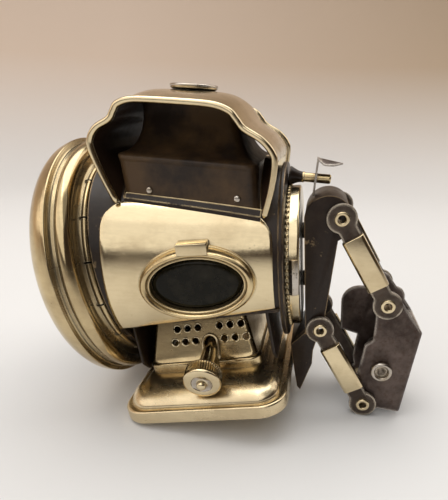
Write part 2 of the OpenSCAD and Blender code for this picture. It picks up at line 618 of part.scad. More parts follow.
arm_hy = arm_w / 2;
arm_toe = barrel_point(arm_z, -36);
module arm_side() {
    translate(arm_head) circle(arm_face);
    polygon([barrel_point(arm_z, 15), arm_toe, [heel_x + 1.4, 15], [heel_x + 1.1, 6], [heel_x + 1.1, -8],
        [heel_x + 2.4, -10], [pivot_c[0] - 6, 4], [pivot_c[0] - 4.6, 11], pivot_c + [3, 6],
        arm_head + [3, -9.5]]);
    translate(pivot_c) circle(eye_r - 0.6);
}
module arm_web() intersection() {
    arm_side();
    polygon([arm_head + [-20, 2], arm_head + [arm_t - arm_face, 2], arm_toe + [arm_t, -1],
        [heel_x + 1.4 + arm_t, 14], [heel_x + 1.4 + arm_t, -20], [heel_x - 10, -20], [heel_x - 10, 30]]);
}
module arm_crown() intersection() {
    difference() {
        translate(arm_head) circle(arm_face);
        translate(arm_head) circle(arm_face - arm_t);
    }
    translate(arm_head + [-30, arm_face * 0.45]) square([60, 30]);
}
module bracket_arm() color(black) difference() {
    union() {
        for (s = [near, far]) translate([0, s * (arm_hy - arm_t / 2), 0]) across(arm_t) arm_side();
        across(arm_w - arm_t) arm_web();
        across(arm_w - arm_t) arm_crown();
    }
    for (p = [pivot_a, pivot_c]) at_pivot(p) cylinder(h = 2 * arm_w, r = rivet_r + fit, center = true);
}

// Studs that space the arm off the rear cap, by their height above the barrel's axis
studs = [9, -14];
stud_r = 3.6;
module spacer_studs() color(black) for (h = studs) at_rear(rear_plate_t + bead_ring_t + cap_depth + fit)
    translate([-h, 0, 0]) cylinder(h = stud_len, r = stud_r);

// Upright spring latch round the tail rod, with a thumb tab
latch_p = rod_p0 + 11.5;
latch_t = 0.9;
latch_w = 10;
latch_z0 = 7.6;
latch_z1 = 23;
module thumb_latch() color(steel) in_hood() difference() {
    union() {
        translate([latch_p, -latch_w / 2, latch_z0]) cube([latch_t, latch_w, latch_z1 - latch_z0]);
        translate([latch_p, 0, latch_z1 - latch_t]) rotate([0, 8, 0]) linear_extrude(latch_t) hull() {
            translate([0, -latch_w / 2]) square([1, latch_w]);
            translate([6, 0]) circle(4.4, $fn = 32);
            translate([9.6, 0]) circle(1.6, $fn = 32);
        }
    }
    translate([latch_p - 5, 0, rod_z]) rotate([0, 90, 0]) cylinder(h = 10, r = rod_r + 1);
}

// Links: a strip with two eyes, and a sleeve folded over its middle from outside

link_y = arm_hy + gap;
link_neck = 8;
sleeve_w = 9.4;
sleeve_t = 4;
fold = 1.1;
sleeve_from = 9.4;
module along_link(p) translate([p[0], 0, p[1]]) rotate([0, 90 - link_angle, 0]) children();
module link(side, p) color(steel) on_side(side) along_link(p) difference() {
    union() {
        for (x = [0, link_len]) translate([x, -link_y, 0]) rotate([90, 0, 0]) cylinder(h = link_t, r = eye_r);
        translate([0, -link_y - link_t, -link_neck / 2]) cube([link_len, link_t, link_neck]);
    }
    for (x = [0, link_len]) translate([x, 0, 0]) rotate([90, 0, 0]) cylinder(h = 3 * link_y, r = rivet_r + fit);
}
module sleeve(side, p) color(brass) on_side(side) along_link(p) translate([sleeve_from, -link_y, 0])
    rotate([90, 0, 90]) linear_extrude(link_len - 2 * sleeve_from) difference() {
        polygon([[0, sleeve_w / 2], [fold - sleeve_t, sleeve_w / 2], [-sleeve_t, sleeve_w / 2 - fold],
            [-sleeve_t, fold - sleeve_w / 2], [fold - sleeve_t, -sleeve_w / 2], [0, -sleeve_w / 2]]);
        translate([-link_t - fit, -link_neck / 2 - fit]) square([link_t + fit + 1, link_neck + 2 * fit]);
    }

// Hollow rivets, with a turned-over head outside the link and one inside the channel
rivet_head = 3.1;
rivet_bore = 1.6;
module rivet(p) for (s = [near, far]) on_side(s) at_pivot(p) difference() {
    union() {
        translate([0, 0, arm_hy - arm_t - 0.9]) cylinder(h = 0.9 - fit, r = rivet_head);
        translate([0, 0, arm_hy - arm_t - 0.5]) cylinder(h = arm_t + link_t + gap + 0.8, r = rivet_r);
        translate([0, 0, link_y + link_t + fit]) rotate_extrude() polygon([[0, 0], [rivet_head, 0],
            [rivet_head, 0.4], [rivet_head - 0.6, 1], [0, 1]]);
    }
    cylinder(h = 3 * arm_w, r = rivet_bore, center = true);
}
module arm_rivets() color(brass) for (p = [pivot_a, pivot_c]) rivet(p);
module socket_rivets() color(brass) for (p = [pivot_b, pivot_d]) rivet(p);

// Socket: a channel that slides down over the machine's lamp bracket; s runs up it, t rearward

socket_low = -2;
socket_mouth = -5;
module in_socket() translate([pivot_d[0], 0, pivot_d[1]]) rotate([0, bracket_lean, 0]) children();
module near_cheek() {
    hull() {
        circle(5.6, $fn = 32);
        translate([6, 4]) circle(5.6, $fn = 32);
    }
    translate([0, pivot_h]) circle(5.8, $fn = 32);
    polygon([[-3, 4], [socket_mouth, 10], [socket_mouth, 30], [-2, 33], [-3.6, pivot_h - 4], [4, pivot_h + 4],
        [socket_web, web_top], [socket_web, socket_low], [8, socket_low], [3, -4]]);
}
module far_cheek() {
    near_cheek();
    hull() {
        translate([-8, 40]) circle(8.5, $fn = 32);
        translate([8, 46]) circle(5, $fn = 32);
        translate([-14, 24]) square([8, 2]);
        translate([10, 20]) square([6, 6]);
    }
}
bolt_at = [4.6, 18.8];
module socket_bracket() color(steel) in_socket() difference() {
    union() {
        translate([0, -(arm_hy - arm_t / 2), 0]) across(arm_t) near_cheek();
        translate([0, arm_hy - arm_t / 2, 0]) across(arm_t) far_cheek();
        translate([socket_web - arm_t, -arm_hy, socket_low]) cube([arm_t, arm_w, web_top - socket_low]);
    }
    for (z = [0, pivot_h]) translate([0, 0, z]) rotate([90, 0, 0])
        cylinder(h = 2 * arm_w, r = rivet_r + fit, center = true);
    translate([bolt_at[0], 0, bolt_at[1]]) rotate([90, 0, 0])
        cylinder(h = 2 * arm_w, r = bolt_d / 2 + fit, center = true);
}
module in_bolt() in_socket() translate([bolt_at[0], 0, bolt_at[1]]) rotate([90, 0, 0]) children();
module clamp_bolt() color(steel) in_bolt() {
    translate([0, 0, -arm_hy - 6]) cylinder(h = 2 * arm_hy + 6.2, r = bolt_d / 2);
    translate([0, 0, arm_hy + fit]) rotate_extrude() polygon([[0, 0], [4.8, 0], [4.8, 1.6], [4, 2.4],
        [2.2, 2.6], [1.8, 2], [0, 2]]);
}
module clamp_nut() color(steel) in_bolt() translate([0, 0, -arm_hy - 4.4 - fit]) difference() {
    cylinder(h = 4.4, r = 6, $fn = 6);
    translate([0, 0, -1]) cylinder(h = 8, r = bolt_d / 2 + fit);
}

stand() barrel();
stand() side_panel(near);  // near_side_panel
stand() side_panel(far);  // far_side_panel
stand() side_bezel(near);  // near_side_bezel
stand() side_bezel(far);  // far_side_bezel
stand() side_glass(near);  // near_side_glass
stand() side_glass(far);  // far_side_glass
stand() window_clips();
stand() front_rim();
stand() front_lens();
stand() lens_retaining_ring();
stand() reflector();
stand() chimney_saddle();
stand() inner_chimney();
stand() chimney_rivets();
stand() hood();
stand() hood_wired_edges();
stand() hood_top_disc();
stand() hood_tail_rod();
stand() rear_plate();
stand() beaded_ring();
stand() rear_cap();
stand() rear_clip();
stand() spacer_studs();
stand() lower_housing();
stand() fount_catch();
stand() fount_tank();
stand() fount_base_plate();
stand() burner_gallery();
stand() wick_tube();
stand() wick();
stand() winder_shaft();
stand() winder_knob();
stand() wick_wheel();
stand() bracket_arm();
stand() thumb_latch();
stand() link(near, pivot_a);  // near_upper_link
stand() link(far, pivot_a);  // far_upper_link
stand() sleeve(near, pivot_a);  // near_upper_sleeve
stand() sleeve(far, pivot_a);  // far_upper_sleeve
stand() link(near, pivot_c);  // near_lower_link
stand() link(far, pivot_c);  // far_lower_link
stand() sleeve(near, pivot_c);  // near_lower_sleeve
stand() sleeve(far, pivot_c);  // far_lower_sleeve
stand() arm_rivets();
stand() socket_rivets();
stand() socket_bracket();
stand() clamp_bolt();
stand() clamp_nut();
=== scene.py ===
import json
from math import atan, atan2, cos, radians, sin, tau

import bmesh
import bpy
import numpy as np
from mathutils import Matrix


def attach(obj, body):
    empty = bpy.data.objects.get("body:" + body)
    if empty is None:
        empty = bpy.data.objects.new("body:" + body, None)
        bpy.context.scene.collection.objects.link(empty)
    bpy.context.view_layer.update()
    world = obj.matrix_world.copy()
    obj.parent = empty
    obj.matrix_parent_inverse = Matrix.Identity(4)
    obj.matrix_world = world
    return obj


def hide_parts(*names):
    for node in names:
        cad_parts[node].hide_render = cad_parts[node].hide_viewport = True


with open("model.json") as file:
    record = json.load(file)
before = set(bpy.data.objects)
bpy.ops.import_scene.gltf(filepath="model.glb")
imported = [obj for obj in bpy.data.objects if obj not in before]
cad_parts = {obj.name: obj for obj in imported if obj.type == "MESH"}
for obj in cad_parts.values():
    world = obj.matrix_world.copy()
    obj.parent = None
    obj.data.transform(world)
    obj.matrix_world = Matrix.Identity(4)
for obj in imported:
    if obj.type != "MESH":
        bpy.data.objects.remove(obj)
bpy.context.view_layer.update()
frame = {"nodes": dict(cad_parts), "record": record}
nodes = frame["nodes"]
bodyOf = {node: body for body, names in frame["record"]["behaviour"]["bodies"].items() for node in names}
near, far = -1, 1
print("frame loaded:", len(nodes), "nodes")

# Lamp millimetres: front is -X, the winder's side is -Y, up is +Z.
# The lamp then stands nose down on the table, turned by stance about its fount's toe and moved by shiftX,
# both as the part's source works them out.
lamp = dict(stance=radians(13.4351232), toeX=-51.2, shiftX=-41.3337688, lipX=58.4, axisH=66.5,
            barrelX=-45.5, slope=radians(7), frontR=46.5, rearR=38.0, barrelLen=74.0,
            hoodX=-3.5, hoodZ=85.6, hoodLean=radians(15), fountMid=-14.0, fit=0.05)
taper = (lamp["frontR"] - lamp["rearR"]) / lamp["barrelLen"]


def point(x, y, z):  # whole arrays of x, y and z as one array of points
    return np.stack(np.broadcast_arrays(x, y, z), -1).astype(float)


def stand(points):  # lamp millimetres to standing metres
    x, y, z = np.moveaxis(np.asarray(points, float), -1, 0)
    c, s = cos(lamp["stance"]), sin(lamp["stance"])
    ahead = x - lamp["toeX"]
    return point(c * ahead - s * z + lamp["shiftX"], y, s * ahead + c * z) / 1000


def inRim(z, r, turn):  # about the front rim's axis, z rearward from the lip
    return point(z - lamp["lipX"], r * np.sin(turn), lamp["axisH"] + r * np.cos(turn))


def inBarrel(z, v, y):  # z along the barrel's axis, v up from it
    c, s = cos(lamp["slope"]), sin(lamp["slope"])
    return point(lamp["barrelX"] + z * c + v * s, y, lamp["axisH"] - z * s + v * c)


def barrelR(z):
    return lamp["frontR"] - taper * z


def inHood(p, y, q):  # p rearward, q up from the hood's feet
    c, s = cos(lamp["hoodLean"]), sin(lamp["hoodLean"])
    return point(lamp["hoodX"] + p * c + q * s, y, lamp["hoodZ"] - p * s + q * c)


# Curves and outlines, all as arrays

def smooth(points, steps):  # Catmull-Rom curve through the points
    p = np.asarray(points, float)
    q = np.vstack((p[:1], p, p[-1:]))
    a, b, c, d = (q[k:k + len(p) - 1, None] for k in range(4))
    t = np.linspace(0, 1, steps, endpoint=False)[None, :, None]
    curve = b + t / 2 * ((c - a) + t * ((2 * a - 5 * b + 4 * c - d) + t * (3 * b - a - 3 * c + d)))
    return np.vstack((curve.reshape(-1, p.shape[1]), p[-1:]))


def arc(centre, radius, start, end, steps):  # degrees, in the plane of the two coordinates
    t = np.radians(np.linspace(start, end, steps))
    return np.stack((centre[0] + radius * np.cos(t), centre[1] + radius * np.sin(t)), -1)


def fullTurn(steps):  # angles all round, the last one short of the first
    return np.linspace(0, tau, steps, endpoint=False)


def roundRect(hx, hy, r, steps):  # rectangle of half sizes hx, hy with round corners
    corner = np.repeat(np.arange(4), steps + 1)
    t = np.radians(90 * (corner + np.tile(np.linspace(0, 1, steps + 1), 4)))
    sx = np.where((corner == 0) | (corner == 3), 1, -1)
    sy = np.where(corner < 2, 1, -1)
    return np.stack((sx * (hx - r) + r * np.cos(t), sy * (hy - r) + r * np.sin(t)), -1)


def loftRows(rows, steps=10):  # round rectangles [half x, half y, corner, z] as a grid, corners held to fit
    return np.stack([np.column_stack((roundRect(hx, hy, min(r, hx * 0.98), steps), np.full(4 * steps + 4, z)))
                     for hx, hy, r, z in rows])


def heading(path):  # unit vectors along a path
    along = np.gradient(path, axis=0)
    return along / np.linalg.norm(along, axis=1)[:, None]


def tube(path, radius, sides=14, drawnIn=0.35):  # a circle carried along a plane path, its ends drawn in
    p = np.asarray(path, float)
    flat = np.linalg.svd(p - p.mean(0))[2][2]
    out = np.cross(heading(p), flat)
    t = fullTurn(sides)
    ring = np.cos(t)[None, :, None] * out[:, None] + np.sin(t)[None, :, None] * flat
    size = np.ones((len(p), 1, 1))
    size[[0, -1]] = drawnIn
    return p[:, None] + radius * size * ring


def crosswise(x, z, side):  # places a turned shape whose axis runs outward on one side of the lamp
    return lambda along, r, t: point(x + r * np.cos(t), side * along, z + r * np.sin(t))


def plainName(node):  # a node's name as one camelCase word
    first, *rest = node.split("_")
    return first + "".join(word.title() for word in rest)


# A part of a mesh is a grid of points, whether its rows and columns close, and how its ends are shut

def part(grid, rows=False, columns=True, ends=None, finish=None):
    return dict(grid=np.asarray(grid, float), rows=rows, columns=columns, ends=ends, finish=finish)


def turned(profile, place, turns=128, closed=False, finish=None):
    # the profile's [radius, along] carried round a full turn: a solid, or a ring where the profile closes
    r, z = np.asarray(profile, float).T
    turn = fullTurn(turns)[:, None]
    return part(place(z[None], r[None], turn), rows=True, columns=closed, finish=finish)


def gridFaces(spec):  # quads of the grid, plus the faces that shut its ends, turned to point outward
    m, n = spec["grid"].shape[:2]
    i, j = np.meshgrid(np.arange(m if spec["rows"] else m - 1),
                       np.arange(n if spec["columns"] else n - 1), indexing="ij")
    i2, j2 = (i + 1) % m, (j + 1) % n
    quads = np.stack((i * n + j, i * n + j2, i2 * n + j2, i2 * n + j), -1).reshape(-1, 4)
    finish = np.zeros(len(quads), int)
    if spec["finish"] is not None:
        finish = np.asarray(spec["finish"])[j.ravel()]
    faces = quads.tolist()
    last = (m - 1) * n
    if spec["ends"] == "face":
        faces += [list(range(n - 1, -1, -1)), list(range(last, last + n))]
    if spec["ends"] == "strip":  # the columns run out and back along a wall
        k = np.arange(n // 2 - 1)
        strip = np.stack((k, k + 1, n - 2 - k, n - 1 - k), -1)
        faces += strip[:, ::-1].tolist() + (strip + last).tolist()
    finish = np.concatenate((finish, np.zeros(len(faces) - len(finish), int)))
    flat = spec["grid"].reshape(-1, 3)
    a, b, c, d = (flat[quads[:, k]] for k in range(4))
    volume = (np.cross(a, b) * c).sum() + (np.cross(a, c) * d).sum()
    if volume < 0:
        faces = [face[::-1] for face in faces]
    return faces, finish


joinDist = 2e-6  # metres within which points are one


def weld(mesh):
    work = bmesh.new()
    work.from_mesh(mesh)
    bmesh.ops.remove_doubles(work, verts=work.verts, dist=joinDist)
    bmesh.ops.dissolve_degenerate(work, edges=work.edges, dist=joinDist / 2)
    work.to_mesh(mesh)
    work.free()


def addObject(name, data):
    made = bpy.data.objects.new(name, data)
    bpy.context.scene.collection.objects.link(made)
    return made


def addPiece(name, mesh, finishes, body, replaced, sharp):
    mesh.shade_smooth()
    mesh.set_sharp_from_angle(angle=radians(sharp))
    piece = addObject(name, mesh)
    for finish in finishes:
        mesh.materials.append(finish)
    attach(piece, body)
    if replaced:
        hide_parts(*replaced)
    return piece


def makePiece(name, parts, finishes, replaced, body=None, sharp=38):
    points, faces, indexes, base = [], [], [], 0
    for spec in parts:
        own, finish = gridFaces(spec)
        points.append(stand(spec["grid"].reshape(-1, 3)))
        faces += [[k + base for k in face] for face in own]
        indexes.append(finish)
        base += spec["grid"].shape[0] * spec["grid"].shape[1]
    mesh = bpy.data.meshes.new(name)
    mesh.from_pydata(np.vstack(points), [], faces)
    mesh.polygons.foreach_set("material_index", np.concatenate(indexes).astype(np.int32))
    weld(mesh)
    return addPiece(name, mesh, finishes, body or bodyOf[replaced[0]], replaced, sharp)


# Softened copies: angles in degrees, a broad face's area in square metres, segments of a rounding
soft = dict(flat=0.5, sharp=30, shade=32, broad=4e-4, bendSteps=5, edgeSteps=2)


def roundEdges(work, edges, width, segments):
    bmesh.ops.bevel(work, geom=edges, offset=width / 1000, offset_type="OFFSET", segments=segments,
                    profile=0.5, affect="EDGES", clamp_overlap=True)


def softenNode(node, finish, slot, width, bend=0.0):
    # a merged copy of a sheet or turned node: bends between broad faces are rounded first, then sharp edges
    sharp = radians(soft["sharp"])
    mesh = nodes[node].data.copy()
    mesh.materials.clear()
    work = bmesh.new()
    work.from_mesh(mesh)
    bmesh.ops.remove_doubles(work, verts=work.verts, dist=joinDist)
    bmesh.ops.dissolve_limit(work, angle_limit=radians(soft["flat"]), verts=work.verts, edges=work.edges)
    if bend:
        bends = [e for e in work.edges if e.is_manifold and e.calc_face_angle_signed() > sharp
                 and min(face.calc_area() for face in e.link_faces) > soft["broad"]]
        roundEdges(work, bends, bend, soft["bendSteps"])
    edges = [e for e in work.edges if e.is_manifold and e.calc_face_angle() > sharp]
    roundEdges(work, edges, width, soft["edgeSteps"])
    work.to_mesh(mesh)
    work.free()
    if mesh.has_custom_normals:  # the node's own no longer fit
        mesh.normals_split_custom_set([(0, 0, 0)] * len(mesh.loops))
    addPiece(plainName("soft_" + node), mesh, [finish], bodyOf[node], [node], soft["shade"])


# Finishes: a wire is one socket of a finish's node tree, usable in Python arithmetic

class Wire:
    def __init__(self, tree, socket=None):
        self.tree, self.socket = tree, socket

    def node(self, kind, settings, sockets, out=0):  # sockets take values or wires
        made = self.tree.nodes.new("ShaderNode" + kind)
        for key, value in settings.items():
            setattr(made, key, value)
        for key, value in sockets.items():
            if isinstance(value, Wire):
                self.tree.links.new(value.socket, made.inputs[key])
            else:
                made.inputs[key].default_value = value
        return Wire(self.tree, made.outputs[out] if len(made.outputs) else None)

    def math(self, operation, a, b):
        return self.node("Math", dict(operation=operation), {0: a, 1: b})

    def __add__(self, other):
        return self.math("ADD", self, other)

    def __sub__(self, other):
        return self.math("SUBTRACT", self, other)

    def __rsub__(self, other):
        return self.math("SUBTRACT", other, self)

    def __mul__(self, other):
        return self.math("MULTIPLY", self, other)

    __radd__, __rmul__ = __add__, __mul__

    def span(self, low, high):  # low to high onto 0 to 1, held at both ends
        return self.node("MapRange", {}, {0: self, 1: low, 2: high})

    def tint(self, first, second):  # mix of two colours by this value
        return self.node("Mix", dict(data_type="RGBA"), {0: self, 6: first, 7: second}, 2)


def rgb(red, green, blue):  # a colour as it is seen on a screen, 0 to 255
    c = np.array((red, green, blue)) / 255
    return (*np.where(c <= 0.04045, c / 12.92, ((c + 0.055) / 1.055) ** 2.4).tolist(), 1)


class Finish:  # a material with its coordinates and a principled shader
    def __init__(self, name):
        self.material = bpy.data.materials.new(name)
        self.material.use_nodes = True
        tree = self.material.node_tree
        tree.nodes.clear()
        self.node = Wire(tree).node
        self.place = self.node("TexCoord", {}, {}, "Object")

    def noise(self, scale, detail=4, rough=0.55, stretch=(1, 1, 1)):
        place = self.node("Mapping", {}, {0: self.place, 3: stretch})
        return self.node("TexNoise", {}, {"Vector": place, "Scale": scale, "Detail": detail,
                                          "Roughness": rough})

    def edges(self, radius, upper=False):  # 1 on edges, painted as metal that a hand has rubbed and as an edge highlight, or only on edges facing up; 0 on flats
        rounded = self.node("Bevel", dict(samples=4), {0: radius / 1000})
        true = self.node("NewGeometry", {}, {}, "Normal")
        level = self.node("VectorMath", dict(operation="DOT_PRODUCT"), {0: rounded, 1: true}, 1)
        rubbedAndLit = level.span(0.98, 0.86)
        if upper:
            rubbedAndLit = rubbedAndLit * self.node("SeparateXYZ", {}, {0: rounded}, 2).span(0.05, 0.3)
        return rubbedAndLit

    def crevice(self, distance):  # ambient occlusion: 1 in corners where shade falls, 0 in the open; the finishes paint it in as dirt and shade
        return 1 - self.node("AmbientOcclusion", dict(samples=4), {"Distance": distance / 1000}, 1)

    def close(self, sockets, bump=None, height=0.0):  # the bump's height is in millimetres
        if bump is not None:
            sockets["Normal"] = self.node("Bump", {}, {"Strength": 1.0, "Distance": height / 1000,
                                                       "Height": bump})
        shader = self.node("BsdfPrincipled", {}, sockets)
        self.node("OutputMaterial", {}, {0: shader})
        return self.material


def brassFinish(name, bright=rgb(226, 209, 172), dull=rgb(150, 124, 86), tarnish=0.35, rough=0.12, soilAndShade=0.85,
                reach=3.5, shy=0.3):
    # polished brass: cloudy tarnish, dirt and painted shade in the corners, rubbed edges with a painted
    # highlight, fine wiping marks
    grimeAndShade, rubbedAndLit = rgb(46, 32, 18), rgb(246, 233, 200)
    f = Finish(name)
    cloud = f.noise(48, 6, 0.6).span(0.42, 0.72)
    smear = f.noise(160, 3, 0.5, (1, 1, 6)).span(0.35, 0.75)
    # ambient occlusion darkens the corners toward grime: dirt and painted shade
    dirtAndShade = f.crevice(reach).span(shy, shy + 0.5)
    # edges paler than clean brass: rubbed metal and a painted highlight
    wearAndHighlight = f.edges(0.6)
    specks = f.noise(620, 4, 0.6).span(0.66, 0.74)
    colour = (cloud * tarnish + smear * 0.08 + specks * 0.25).span(0, 1).tint(bright, dull)
    colour = (dirtAndShade * soilAndShade).tint(colour, grimeAndShade)
    colour = (wearAndHighlight * 0.6).tint(colour, rubbedAndLit)
    grain = f.noise(900, 2, 0.5, (1, 1, 0.15))
    return f.close({"Base Color": colour, "Metallic": 1 - dirtAndShade * 0.35,
                    "Roughness": rough + cloud * 0.1 + smear * 0.05 + dirtAndShade * 0.3 + specks * 0.1},
                   grain + cloud * 3 - specks, 0.012)


def japanFinish(name, paint=rgb(27, 19, 14), wearAndHighlightTo=rgb(176, 150, 112), rough=0.3, chips=0.62, dusty=0.16,
                rubAndHighlight=1.0, brown=rgb(44, 31, 22), blotch=(0.35, 0.7), gloss=0.26, upper=False):
    # stoved black lacquer: brown in places, dusty, rubbed to the metal along its edges; with upper set, edges
    # facing up also carry a painted highlight
    greyDust = rgb(92, 78, 62)
    f = Finish(name)
    cloud = f.noise(36, 5, 0.6).span(*blotch)
    dust = f.noise(210, 5, 0.7).span(0.45, 0.75)
    chip = f.noise(95, 8, 0.7).span(chips, chips + 0.05)
    wearAndHighlight = (f.edges(0.8, upper) * f.noise(120, 4).span(0.3, 0.55) * rubAndHighlight + chip * 0.5).span(0.25, 0.7)
    colour = cloud.tint(paint, brown)
    colour = (dust * dusty).tint(colour, greyDust)
    colour = wearAndHighlight.tint(colour, wearAndHighlightTo)
    return f.close({"Base Color": colour, "Metallic": wearAndHighlight, "Roughness": rough + dust * 0.2 + wearAndHighlight * 0.1,
                    "Specular IOR Level": gloss, "Coat Weight": 0.06 * (1 - wearAndHighlight), "Coat Roughness": 0.15},
                   dust + wearAndHighlight * -2, 0.02)


def steelFinish(name, base=rgb(104, 92, 86), dark=rgb(46, 34, 28), bright=rgb(206, 198, 188), rough=0.42,
                dents=3.0):
    # bare old steel: brown stain, pits, shallow dents, bright rubbed corners that also paint in an edge
    # highlight
    rust = rgb(66, 42, 28)
    f = Finish(name)
    stain = f.noise(70, 7, 0.65).span(0.38, 0.68)
    pits = f.noise(520, 6, 0.7).span(0.5, 0.72)
    # pale, less metallic edges: rubbed steel and a painted edge highlight
    wearAndHighlight = (f.edges(2.0) * f.noise(90, 4).span(0.28, 0.5)).span(0.1, 0.6)
    hollows = f.noise(85, 2, 0.4)
    colour = stain.tint(base, dark)
    colour = (pits * 0.4).tint(colour, rust)
    colour = wearAndHighlight.tint(colour, bright)
    return f.close({"Base Color": colour, "Metallic": 1 - stain * 0.45 * (1 - wearAndHighlight) - wearAndHighlight * 0.5,
                    "Roughness": rough + pits * 0.2 - wearAndHighlight * 0.15},
                   pits * -1 + stain + hollows * (dents * 9), 0.05)


def nickelFinish(name, base=rgb(196, 189, 180), yellowed=rgb(150, 132, 104), rough=0.2):
    # thin nickel plate, yellowed where it has worn through
    grimeAndShade = rgb(60, 48, 34)
    f = Finish(name)
    cloud = f.noise(110, 6, 0.6).span(0.4, 0.7)
    spots = f.noise(700, 3, 0.6).span(0.62, 0.7)
    # ambient occlusion darkens the corners toward grime: dirt and painted shade
    dirtAndShade = f.crevice(1.5).span(0.3, 0.8)
    colour = cloud.tint(base, yellowed)
    colour = (spots * 0.5 + dirtAndShade * 0.6).span(0, 1).tint(colour, grimeAndShade)
    return f.close({"Base Color": colour, "Metallic": 1 - spots * 0.3,
                    "Roughness": rough + cloud * 0.12 + spots * 0.2}, spots * -1 + cloud, 0.015)


def glassFinish(name, colour, through, rough=0.03, gloss=0.5, dust=1.0):
    # old pressed glass: faint waves, a thin uneven film of dust
    greyDust = rgb(110, 102, 84)
    f = Finish(name)
    film = f.noise(130, 5, 0.6).span(0.45, 0.8) * dust
    waves = f.noise(60, 2, 0.4)
    return f.close({"Base Color": (film * 0.12).tint(colour, greyDust),
                    "Roughness": rough + film * 0.06, "Transmission Weight": through, "IOR": 1.5,
                    "Specular IOR Level": gloss},
                   waves, 0.04)


def wickFinish(name, light=rgb(214, 204, 178), shade=rgb(170, 152, 118), charred=rgb(96, 74, 50)):
    # flat woven cotton, charred brown in patches
    f = Finish(name)
    weave = f.node("TexWave", dict(bands_direction="DIAGONAL"),
                   {"Vector": f.place, "Scale": 420.0, "Distortion": 1.5})
    char = f.noise(90, 5).span(0.5, 0.75)
    colour = (weave * 0.4).tint(light, shade)
    return f.close({"Base Color": char.tint(colour, charred), "Roughness": 0.9 - char * 0.05}, weave, 0.2)


brass = brassFinish("polishedBrass")
oldBrass = brassFinish("handledBrass", rgb(214, 193, 150), rgb(122, 96, 60), tarnish=0.5, rough=0.18)
# rim brass: darker tones and a wide ambient occlusion darken its grooves, tarnish and dirt together with
# painted shade
rimBrass = brassFinish("rimBrass", rgb(204, 184, 144), rgb(108, 86, 56), tarnish=0.5, rough=0.14, soilAndShade=0.95,
                       reach=9.0, shy=0.12)
fountBrass = brassFinish("fountBrass", rgb(222, 204, 168), rgb(140, 118, 84), tarnish=0.4, rough=0.22,
                         soilAndShade=0.5, reach=2.0)
japan = japanFinish("blackJapan")
wornJapan = japanFinish("wornJapan", rgb(38, 28, 22), rgb(170, 146, 112), rough=0.34, chips=0.6)
sooted = japanFinish("sootedBlack", rgb(36, 26, 19), rgb(120, 96, 66), rough=0.42, chips=0.72, dusty=0.14,
                     brown=rgb(80, 60, 38), blotch=(0.43, 0.6))
# saddle: pale rubbed edges only where they face up, rubbed lacquer and a painted highlight
saddleBlack = japanFinish("saddleBlack", rgb(24, 17, 12), rgb(206, 186, 146), rough=0.4, chips=0.7, dusty=0.1,
                          rubAndHighlight=3.0, upper=True)
lining = japanFinish("hoodLining", rgb(38, 23, 12), rgb(70, 52, 34), rough=0.62, chips=0.78, dusty=0.05,
                     gloss=0.08)
steel = steelFinish("bareSteel")
linkSteel = steelFinish("linkSteel", rgb(92, 82, 74), rgb(48, 38, 32), rgb(226, 214, 194), rough=0.36,
                        dents=0.2)
nickel = nickelFinish("wornNickel")
mirror = nickelFinish("silveredDish", rgb(226, 220, 210), rgb(186, 172, 146), rough=0.1)
sideGlass = glassFinish("bottleGreenGlass", rgb(15, 13, 4), through=0.06, rough=0.05, gloss=0.14)
clearGlass = glassFinish("clearGlass", rgb(236, 240, 232), through=1.0, dust=0.3)
cotton = wickFinish("wickCotton")
print("finishes made")


# Front rim: a dome, a sharp lip, a ridged groove, a round bead and a slit skirt, all turned
rim = dict(lipR=58.0, windowR=47.0, dome=12.0, wall=1.2, beadR=3.4, beadAt=(52.8, 6.2), skirtR=45.95,
           skirtZ=13.2, endBead=1.1, slits=16, slitHalf=0.4, slitFrom=10.3, turns=192)


def onDome(out, deep):
    return rim["windowR"] + (rim["lipR"] - rim["windowR"]) * out, -rim["dome"] * deep


def makeRim():
    # r(s), z(s) is the outline, carried round a full turn; where a slit is, z stops short
    lipR, skirtR = rim["lipR"], rim["skirtR"]
    dome = smooth([onDome(0, 1), onDome(0.309, 0.933), onDome(0.636, 0.717), onDome(0.89, 0.383),
                   onDome(0.99, 0.06)], 8)
    lip = arc((lipR - 0.5, 0.5), 0.5, -20, 100, 6)
    groove = smooth([(lipR - 1.1, 1.3), (lipR - 1.8, 1.5), (lipR - 2.3, 1.9), (lipR - 2.8, 1.75),
                     (lipR - 3.1, 2.3), (lipR - 3.4, 3.0)], 4)
    bead = arc(rim["beadAt"], rim["beadR"], -52, 130, 26)
    neck = smooth([(skirtR + 3.65, 9.0), (skirtR + 2.35, 9.3), (skirtR + 1.65, 9.9),
                   (skirtR + 1.25, 10.6)], 4)
    ending = arc((skirtR + 0.9, rim["skirtZ"] - rim["endBead"]), rim["endBead"], -60, 90, 10)
    back = [(skirtR, rim["skirtZ"]), (skirtR, 3.4), (lipR - 4.4, 0.8),
            onDome(0.727, 0.167), onDome(0.545, 0.583), onDome(0.236, 0.717), onDome(0.18, 0.85),
            (rim["windowR"], rim["wall"] - rim["dome"])]
    r, z = np.vstack((dome, lip, groove, bead, neck, ending, back)).T
    slit = (np.arange(rim["slits"]) + 0.5) * tau / rim["slits"]
    half = rim["slitHalf"] / skirtR
    turn = np.concatenate([fullTurn(rim["turns"])]
                          + [slit + half * k for k in (-1.02, -1, 0, 1, 1.02)])
    turn = np.unique(np.round(turn, 7))[:, None]
    cut = (np.abs(turn - slit).min(1) < half * 1.01)[:, None] & (z > rim["slitFrom"])
    grid = inRim(np.where(cut, rim["slitFrom"], z[None]), r[None], turn)
    makePiece("frontRim", [part(grid, rows=True)], [rimBrass], ["front_rim"], sharp=34)


# Front lens: a thick bulged glass, z(r) a quarter ellipse, flat behind
lens = dict(edge=48.4, z=-10.15, thick=5.0, bulge=6.0, face=46.0)


